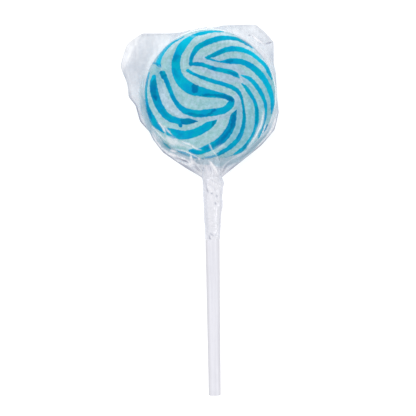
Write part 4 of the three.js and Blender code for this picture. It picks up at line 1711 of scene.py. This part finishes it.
    def patched(self, marks: Marks) -> Marks:
        """The marks with the front sheet's milky places and painted glare, the candy's blue painted into
        its folds, and its clear places.

        Args:
            marks: The marks of the sheet's own creases.

        Returns:
            The marks that the finish reads.
        """
        fine = crumpled(self.x / 0.5, self.y / 0.5, 21)
        streaks = np.clip(1.0 + 0.5 * self.pleats + 0.5 * fine, 0.3, 1.4)
        milky = strongest(milky_glare_places(), self.x, self.y, 0.7) * streaks
        stain_and_refracted_blue = strongest(refracted_blue_places(), self.x, self.y, 0.3)
        clear = (1.0 - strongest(clear_places(), self.x, self.y, 0.6)) * (1.0 - stain_and_refracted_blue)
        marks = {**marks, "crease": np.maximum(marks["crease"], milky), "stain_and_refracted_blue": stain_and_refracted_blue}
        cleared = {name: marks[name] * clear for name in ("veil", "crease", "shade", "painted_rim_reflection")}
        return {**marks, **cleared}

    def build(self) -> tuple[Array, Marks]:
        """Creases the sheet and draws its lines.

        Returns:
            The vertices, one row a ring, and the marks that the finish reads.
        """
        base, out, marks = self.smooth(), self.creases(), self.marks()
        if self.side > 0:
            lift, light, dark = drawn(front_folds(), self.x, self.y)
            lift = lift * (0.25 + 0.75 * ease(21.0, 24.0, self.radius))
            out = out + lift * (1.0 - ease(0.9, 1.0, self.share))
            marks = lined(self.patched(marks), light, dark)
        out = np.where(self.share < 0.02, np.maximum(out, -0.22), out)
        points = base + out[..., None] * self.outward(base)
        points[..., 2] = np.maximum(points[..., 2] + self.bag.candy.mid_height, self.bag.off_table)
        return points, marks

    def outward(self, points: Array) -> Array:
        """The directions that point out of the bag.

        Args:
            points: The sheet's vertices, one row a ring.

        Returns:
            One direction for each vertex.
        """
        down_ring = np.gradient(points, axis=0)
        round_ring = (np.roll(points, -1, axis=1) - np.roll(points, 1, axis=1)) / 2.0
        normal = np.cross(down_ring, round_ring)
        normal = normal / np.maximum(np.linalg.norm(normal, axis=-1, keepdims=True), TINY)
        facing = np.sign(normal[..., 2:3] * self.side)
        return normal * np.where(facing == 0.0, 1.0, facing)


@dataclass
class Wrapper:
    """The clear film: a flat bag folded shut over the candy, and gathered round the stick."""

    candy: Candy  # the candy inside
    stick: Stick  # the stick that the neck is gathered round
    offset: float = 0.32  # how far the film lies off the candy
    seam_half: float = 0.06  # half the thickness of the seam
    sag: float = 0.4  # how far the free film sags towards the mid-plane, as a share of its height
    seam_wave: float = 1.1  # how far the seam waves up and down
    slack: float = 0.15  # how far beyond the film on the rim the seam lies at least
    free_stretch: float = 8.0  # how wide a stretch of film has to be to fold freely
    off_table: float = 0.03  # how high the film stays off the table
    stick_gap: float = 0.1  # how far the neck stays off the stick
    neck_y: float = -29.7  # where the neck starts
    neck_end_y: float = -52.0  # where the neck ends
    straight: float = 0.7  # how straight the seam runs between its corners, from 0 to 1
    seam_spokes: int = 520  # how many spokes end at the seam
    neck_spokes: int = 72  # how many spokes end at the neck's mouth
    # How many rings the front sheet has on the face, on the rim and beyond it.
    front_rings: tuple[int, int, int] = (38, 16, 42)
    back_rings: tuple[int, int, int] = (10, 8, 18)  # the same for the back sheet
    neck_rings: int = 92  # how many rings the neck has
    # The seam's corners x and y, clockwise from the neck's left edge.
    outline: Stations = (
        (-4.4, -28.8), (-9, -26), (-17, -20.3), (-20.5, -15.8), (-22, -12.8), (-25.2, -9),
        (-26.8, -3.3), (-29.1, -0.2), (-29.6, 4.5), (-31.9, 10.8), (-29.5, 18.7), (-24.1, 22.4),
        (-14, 22.4), (-7, 23), (0, 24), (5, 25), (10, 25.2), (17, 25.1), (20, 22.6), (23.2, 18.8),
        (23.2, 11), (23.9, 7.5), (24.2, 0), (24.7, -6.5), (23, -12.8), (18.3, -18.2), (11, -24),
        (5.6, -28.2),
    )
    neck_folds: dict[str, Fold] = field(default_factory=neck_lines)  # the folds on the neck's front
    # Places y, middle x and half width down the neck.
    neck_stations: Stations = (
        (-29.7, 0.4, 3.5), (-31.3, 0.9, 3.7), (-34, 0.7, 3.45), (-37, 0.6, 3.35), (-39.3, 0.75, 3.4),
        (-42, 0.5, 3.2), (-44.5, 0.35, 3), (-48, 0.4, 2.8), (-52, 0.3, 2.62),
    )

    def neck_at(self, y: Array) -> tuple[Array, Array]:
        """The neck's middle x and half width at places down it."""
        line = smooth_line(np.array(self.neck_stations), 8)[::-1]
        return np.interp(y, line[:, 0], line[:, 1]), np.interp(y, line[:, 0], line[:, 2])

    def looseness(self, radius: Array) -> Array:
        """How freely the film folds at a distance from the middle, from 0 to 1."""
        return np.clip((radius - self.candy.radius) / self.free_stretch, 0.0, 1.0)

    def spokes(self) -> tuple[Array, Array]:
        """The ends of the spokes that the bag is strung on, clockwise from the neck's left edge.

        Returns:
            The ends' x and y, and the bag's half thickness there.
        """
        middle, half = (float(v) for v in self.neck_at(np.array(self.neck_y)))
        left, right = (middle - half, self.neck_y), (middle + half, self.neck_y)
        corners = np.array([left, *self.outline, right])
        share = (np.arange(12) / 12.0)[:, None]
        edges = [start + share * (end - start) for start, end in zip(corners, corners[1:])]
        sharp = np.vstack([*edges, corners[-1:]])
        path = (1.0 - self.straight) * smooth_line(corners, 12) + self.straight * sharp
        seam = evenly(path, np.linspace(0.0, 1.0, self.seam_spokes))
        turn = np.linspace(0.0, math.pi, self.neck_spokes + 2)[1:-1]
        mouth = np.column_stack([middle + half * np.cos(turn), np.full(turn.shape, self.neck_y)])
        ends = np.vstack([seam, mouth])
        thick = np.concatenate([np.full(len(seam), self.seam_half), half * np.sin(turn)])
        return ends, thick

    def section(
        self, seam_radius: Array, seam_half: Array, rings: tuple[int, int, int],
    ) -> tuple[Array, Array, Array]:
        """The bag's half sections: flat on the face, round with the rim, then straight to the seam.

        Args:
            seam_radius: How far out each spoke ends.
            seam_half: The bag's half thickness there.
            rings: How many rings lie on the face, on the rim and on the free stretch.

        Returns:
            The radius, the half thickness and the share of the free stretch, one row a ring.
        """
        candy = self.candy
        rounding = candy.rim_rounding + self.offset
        flat = candy.radius - candy.rim_rounding
        rim_height = candy.thickness / 2.0 - candy.rim_rounding
        out, up = seam_radius - flat, seam_half - rim_height
        leaves = np.arctan2(up, out) + np.arccos(np.minimum(1.0, rounding / np.hypot(out, up)))
        on_face, on_rim, on_skirt = rings
        face = np.linspace(0.0, 1.0, on_face + 1)[1:-1, None] ** 0.6 * flat + 0.0 * out
        turn = math.pi / 2.0 + np.linspace(0.0, 1.0, on_rim)[:, None] * (leaves - math.pi / 2.0)
        rim_radius, rim_half = flat + rounding * np.cos(turn), rim_height + rounding * np.sin(turn)
        share = np.linspace(0.0, 1.0, on_skirt + 1)[1:, None]
        skirt_radius = rim_radius[-1] + share * (seam_radius - rim_radius[-1])
        straight = rim_half[-1] + share * (seam_half - rim_half[-1])
        loose = self.looseness(seam_radius) * (seam_half < 1.0)
        skirt_half = straight * (1.0 - self.sag * np.sin(math.pi * share) * loose)
        radius = np.vstack([face, rim_radius, skirt_radius])
        half = np.vstack([np.full(face.shape, rim_height + rounding), rim_half, skirt_half])
        shares = np.vstack([np.zeros(face.shape), np.zeros(rim_radius.shape), share + 0.0 * skirt_radius])
        return radius, half, shares

    def sheet(self, side: int) -> Sheet:
        """Lays out one sheet of the bag.

        Args:
            side: 1 for the front sheet and -1 for the back one.

        Returns:
            The sheet.
        """
        ends, thick = self.spokes()
        tightest = self.candy.radius + self.offset + self.slack
        seam_radius = np.maximum(np.hypot(ends[:, 0], ends[:, 1]), tightest)
        rings = self.front_rings if side > 0 else self.back_rings
        radius, half, share = self.section(seam_radius, thick, rings)
        return Sheet(self, side, radius, half, share, np.arctan2(ends[:, 1], ends[:, 0]))

    def neck(self, mouth: Array, mouth_marks: Marks) -> tuple[Array, Marks]:
        """The gathered neck below the bag's mouth.

        Args:
            mouth: The mouth's vertices, once round.
            mouth_marks: Their marks.

        Returns:
            The vertices, one row a ring, and the marks that the finish reads.
        """
        middle0, half0 = self.neck_at(np.array(self.neck_y))
        turn = np.arctan2(mouth[:, 2] - self.candy.mid_height, mouth[:, 0] - middle0)
        down = np.linspace(0.0, 1.0, self.neck_rings + 1)[1:, None]
        y = self.neck_y + down * (self.neck_end_y - self.neck_y) + 0.0 * turn
        middle, half = self.neck_at(y)
        twisted = turn + 0.42 * (y - self.neck_y) * np.exp(down * -4.0)
        gathered = 1.0 - 0.6 * ease(0.15, 0.6, down)
        lobes = 0.5 * np.sin(5.0 * twisted + 0.6) + 0.5 * np.sin(8.0 * twisted + 2.0)
        sharp = Facets(1.0, 41, 0.2).at(np.cos(twisted) * 4.0, np.sin(twisted) * 4.0 + y / 9.0)
        crinkle = Facets(1.4, 43).at(turn * 3.2 + 0.0 * y, y)
        fine = Facets(0.7, 47).at(turn * 3.2 + 0.0 * y, y)
        reach = half + gathered * (0.1 * lobes + 0.14 * sharp) + 0.1 * crinkle + 0.03 * fine
        mouth_reach = np.hypot(mouth[:, 2] - self.candy.mid_height, mouth[:, 0] - middle0)
        reach = reach + (mouth_reach - half0) * np.exp(-down * 14.0)
        veil = 0.05 + 0.02 * crinkle
        # the gathered film's milky white, with highlights painted on its ridges and crinkles and shade
        # painted in their hollows
        crease = 0.64 + gathered * 0.1 * ease(0.1, 0.8, sharp) + 0.1 * ease(0.3, 0.9, crinkle)
        shade = 0.02 + gathered * 0.1 * ease(0.1, 0.8, -sharp) + 0.07 * ease(0.2, 0.9, -crinkle)
        at_front = ease(0.0, 0.3, np.sin(turn))
        lift, light, dark = drawn(self.neck_folds, middle + half * np.cos(turn), y)
        reach = reach + lift * at_front * (1.0 - np.abs(np.cos(turn)) ** 4)
        round_stick = self.stick.radius_at(y) + self.stick_gap
        x = middle + reach * np.cos(turn)
        z = reach * np.sin(turn)
        from_axis = np.hypot(x - self.stick.axis_x, z)
        push = np.maximum(round_stick / np.maximum(from_axis, TINY), 1.0)
        x = self.stick.axis_x + (x - self.stick.axis_x) * push
        z = z * push
        end_wave = 0.4 * np.sin(2.0 * turn + 1.0) + 0.2 * np.sin(5.0 * turn)
        points = np.stack([x, y + end_wave * down**6, z + self.candy.mid_height], axis=-1)
        own = {"veil": veil, "crease": crease, "shade": shade}
        own.update({name: 0.0 * x for name in ("painted_rim_reflection", "stain_and_refracted_blue", "touching")})
        settled = ease(0.0, 0.16, down)
        marks = {
            name: values * settled + mouth_marks[name] * (1.0 - settled)
            for name, values in own.items()
        }
        return points, lined(marks, light * at_front, dark * at_front)

    def build(self) -> bpy.types.Object:
        """Makes the film as one mesh and dresses it.

        Returns:
            The piece.
        """
        front, front_marks = self.sheet(1).build()
        back, back_marks = self.sheet(-1).build()
        rings, spokes = front.shape[:2]
        mouth = self.mouth(front, back)
        mouth_marks = {name: self.mouth(front_marks[name], back_marks[name]) for name in front_marks}
        neck, neck_marks = self.neck(mouth, mouth_marks)
        middles = np.stack([front[0].mean(axis=0), back[0].mean(axis=0)])
        points = np.vstack([part.reshape(-1, 3) for part in (front, back, neck, middles)])
        parts = (front_marks, back_marks, neck_marks)
        marks = {
            name: np.concatenate([*(part[name].ravel() for part in parts), [0.0, 0.0]])
            for name in front_marks
        }

        front_number = np.arange(rings * spokes).reshape(rings, spokes)
        back_number = rings * spokes + np.arange(back.size // 3).reshape(-1, spokes)
        neck_start = (front.size + back.size) // 3
        around = mouth.shape[0]
        mouth_number = self.mouth(front_number, back_number)
        below_mouth = neck_start + np.arange(neck.size // 3).reshape(-1, around)
        neck_number = np.vstack([mouth_number, below_mouth])
        top_number = len(points) - 2
        faces = quads_between(front_number, closed=True).tolist()
        faces += quads_between(back_number, closed=True)[:, ::-1].tolist()
        faces += quads_between(neck_number, closed=True).tolist()
        for spoke in range(spokes):
            beside = (spoke + 1) % spokes
            faces.append([top_number, front_number[0, beside], front_number[0, spoke]])
            faces.append([top_number + 1, back_number[0, spoke], back_number[0, beside]])
        for spoke in range(self.seam_spokes - 1):
            at_seam = [front_number[-1, spoke], front_number[-1, spoke + 1]]
            faces.append([*at_seam, back_number[-1, spoke + 1], back_number[-1, spoke]])
        faces = [[int(n) for n in face] for face in faces]
        piece = make_piece("wrapper_film", points, faces, marks)
        piece.data.materials.append(FilmFinish().material())
        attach(piece, ROOT)
        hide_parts("wrapper")
        return piece

    def mouth(self, front: Array, back: Array) -> Array:
        """The rows for the mouth, once round, from what the two sheets hold."""
        first = self.seam_spokes
        return np.concatenate([front[-1, first - 1:], front[-1, :1], back[-1, :first - 1:-1]])


# ---- Studio ----


@dataclass(frozen=True)
class Softbox:
    """One square studio light."""

    name: str  # its name
    place: tuple[float, float, float]  # where it hangs, in metres
    side: float  # its side, in metres
    power: float  # its power in watts
    tint: Colour = (1.0, 1.0, 1.0)  # its colour

    def hang(self, target: tuple[float, float, float]) -> None:
        """Puts the light in the scene, turned to what it lights.

        Args:
            target: The point that it faces, in metres.
        """
        lamp = bpy.data.lights.new(self.name, "AREA")
        lamp.shape = "SQUARE"
        lamp.size = self.side
        lamp.energy = self.power
        lamp.color = self.tint
        holder = bpy.data.objects.new(self.name, lamp)
        bpy.context.scene.collection.objects.link(holder)
        away = np.array(self.place) - np.array(target)
        away = away / np.linalg.norm(away)
        holder.location = self.place
        tilt, yaw = math.acos(np.clip(away[2], -1.0, 1.0)), math.atan2(away[0], -away[1])
        holder.rotation_euler = (tilt, 0.0, yaw)


@dataclass
class Studio:
    """The table, the lights and the camera straight above the lollipop."""

    mid_height: float  # the height of the lollipop's mid-plane, in millimetres
    table_half: float = 3.0  # half the table's width, in metres
    # The point that the lights face, in metres.
    lit_point: tuple[float, float, float] = (0.0, -0.03, 0.0)
    view_width: float = 149.8  # the width of the table that the camera takes in, in millimetres
    view_x: float = -1.2  # the middle of the view, in millimetres
    view_y: float = -40.6  # the middle of the view, in millimetres
    lean: float = 0.0146  # how far the lollipop leans in the view, in radians
    lens: float = 200.0  # the camera's focal length
    sensor: float = 36.0  # the width of the camera's sensor
    walls: Colour = (0.80, 0.81, 0.83)  # the light that comes from the sides
    ceiling: Colour = (0.56, 0.565, 0.58)  # the light that comes from straight above
    # The lights.
    softboxes: tuple[Softbox, ...] = (
        Softbox("key", (-0.9, 0.55, 0.75), 0.3, 4.6),
        Softbox("fill", (0.95, -0.3, 0.8), 0.36, 3.0),
        Softbox("top", (0.1, 0.9, 1.3), 1.1, 3.0),
    )

    def build(self) -> None:
        """Lays the table, hangs the lights and sets up the camera."""
        turns = ((-1.0, -1.0), (1.0, -1.0), (1.0, 1.0), (-1.0, 1.0))
        corners = np.array([(x * self.table_half, y * self.table_half, 0.0) for x, y in turns]) / MM
        table = make_piece("table", corners, [[0, 1, 2, 3]], {})
        table.data.materials.append(TableFinish().material())
        for softbox in self.softboxes:
            softbox.hang(self.lit_point)
        world = bpy.data.worlds.new("studio")
        world.use_nodes = True
        nodes = Nodes(world.node_tree)
        toward = nodes.add("ShaderNodeTexCoord").outputs["Generated"]
        upward = nodes.add("ShaderNodeSeparateXYZ", Vector=toward).outputs["Z"]
        sky = nodes.blend(nodes.spread(upward, 0.1, 1.0, 0.0, 1.0), self.walls, self.ceiling)
        nodes.feed(world.node_tree.nodes["Background"].inputs["Color"], sky)
        bpy.context.scene.world = world
        bpy.context.scene.view_settings.view_transform = "Standard"
        self.camera()

    def camera(self) -> None:
        """Sets up the camera, looking straight down."""
        lens = bpy.data.cameras.new("camera")
        lens.lens = self.lens
        lens.sensor_width = self.sensor
        camera = bpy.data.objects.new("camera", lens)
        bpy.context.scene.collection.objects.link(camera)
        height = self.mid_height + self.view_width * self.lens / self.sensor
        camera.location = (self.view_x * MM, self.view_y * MM, height * MM)
        camera.rotation_euler = (0.0, 0.0, -self.lean)
        bpy.context.scene.camera = camera


def main() -> None:
    """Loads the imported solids, builds each sub-assembly round them and notes the sizes."""
    logging.basicConfig(level=logging.INFO, format="%(name)s: %(message)s")
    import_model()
    candy_low, candy_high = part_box("candy_disc")
    mid_height = (candy_low.z + candy_high.z) / 2.0 / MM
    studio = Studio(mid_height)
    studio.build()
    candy = Candy(mid_height)
    stick = Stick(mid_height)
    for builder in (candy, stick, Wrapper(candy, stick)):
        piece = builder.build()
        mesh = piece.data
        log.info("%s: %d vertices, %d faces", piece.name, len(mesh.vertices), len(mesh.polygons))


if __name__ == "__main__":
    main()
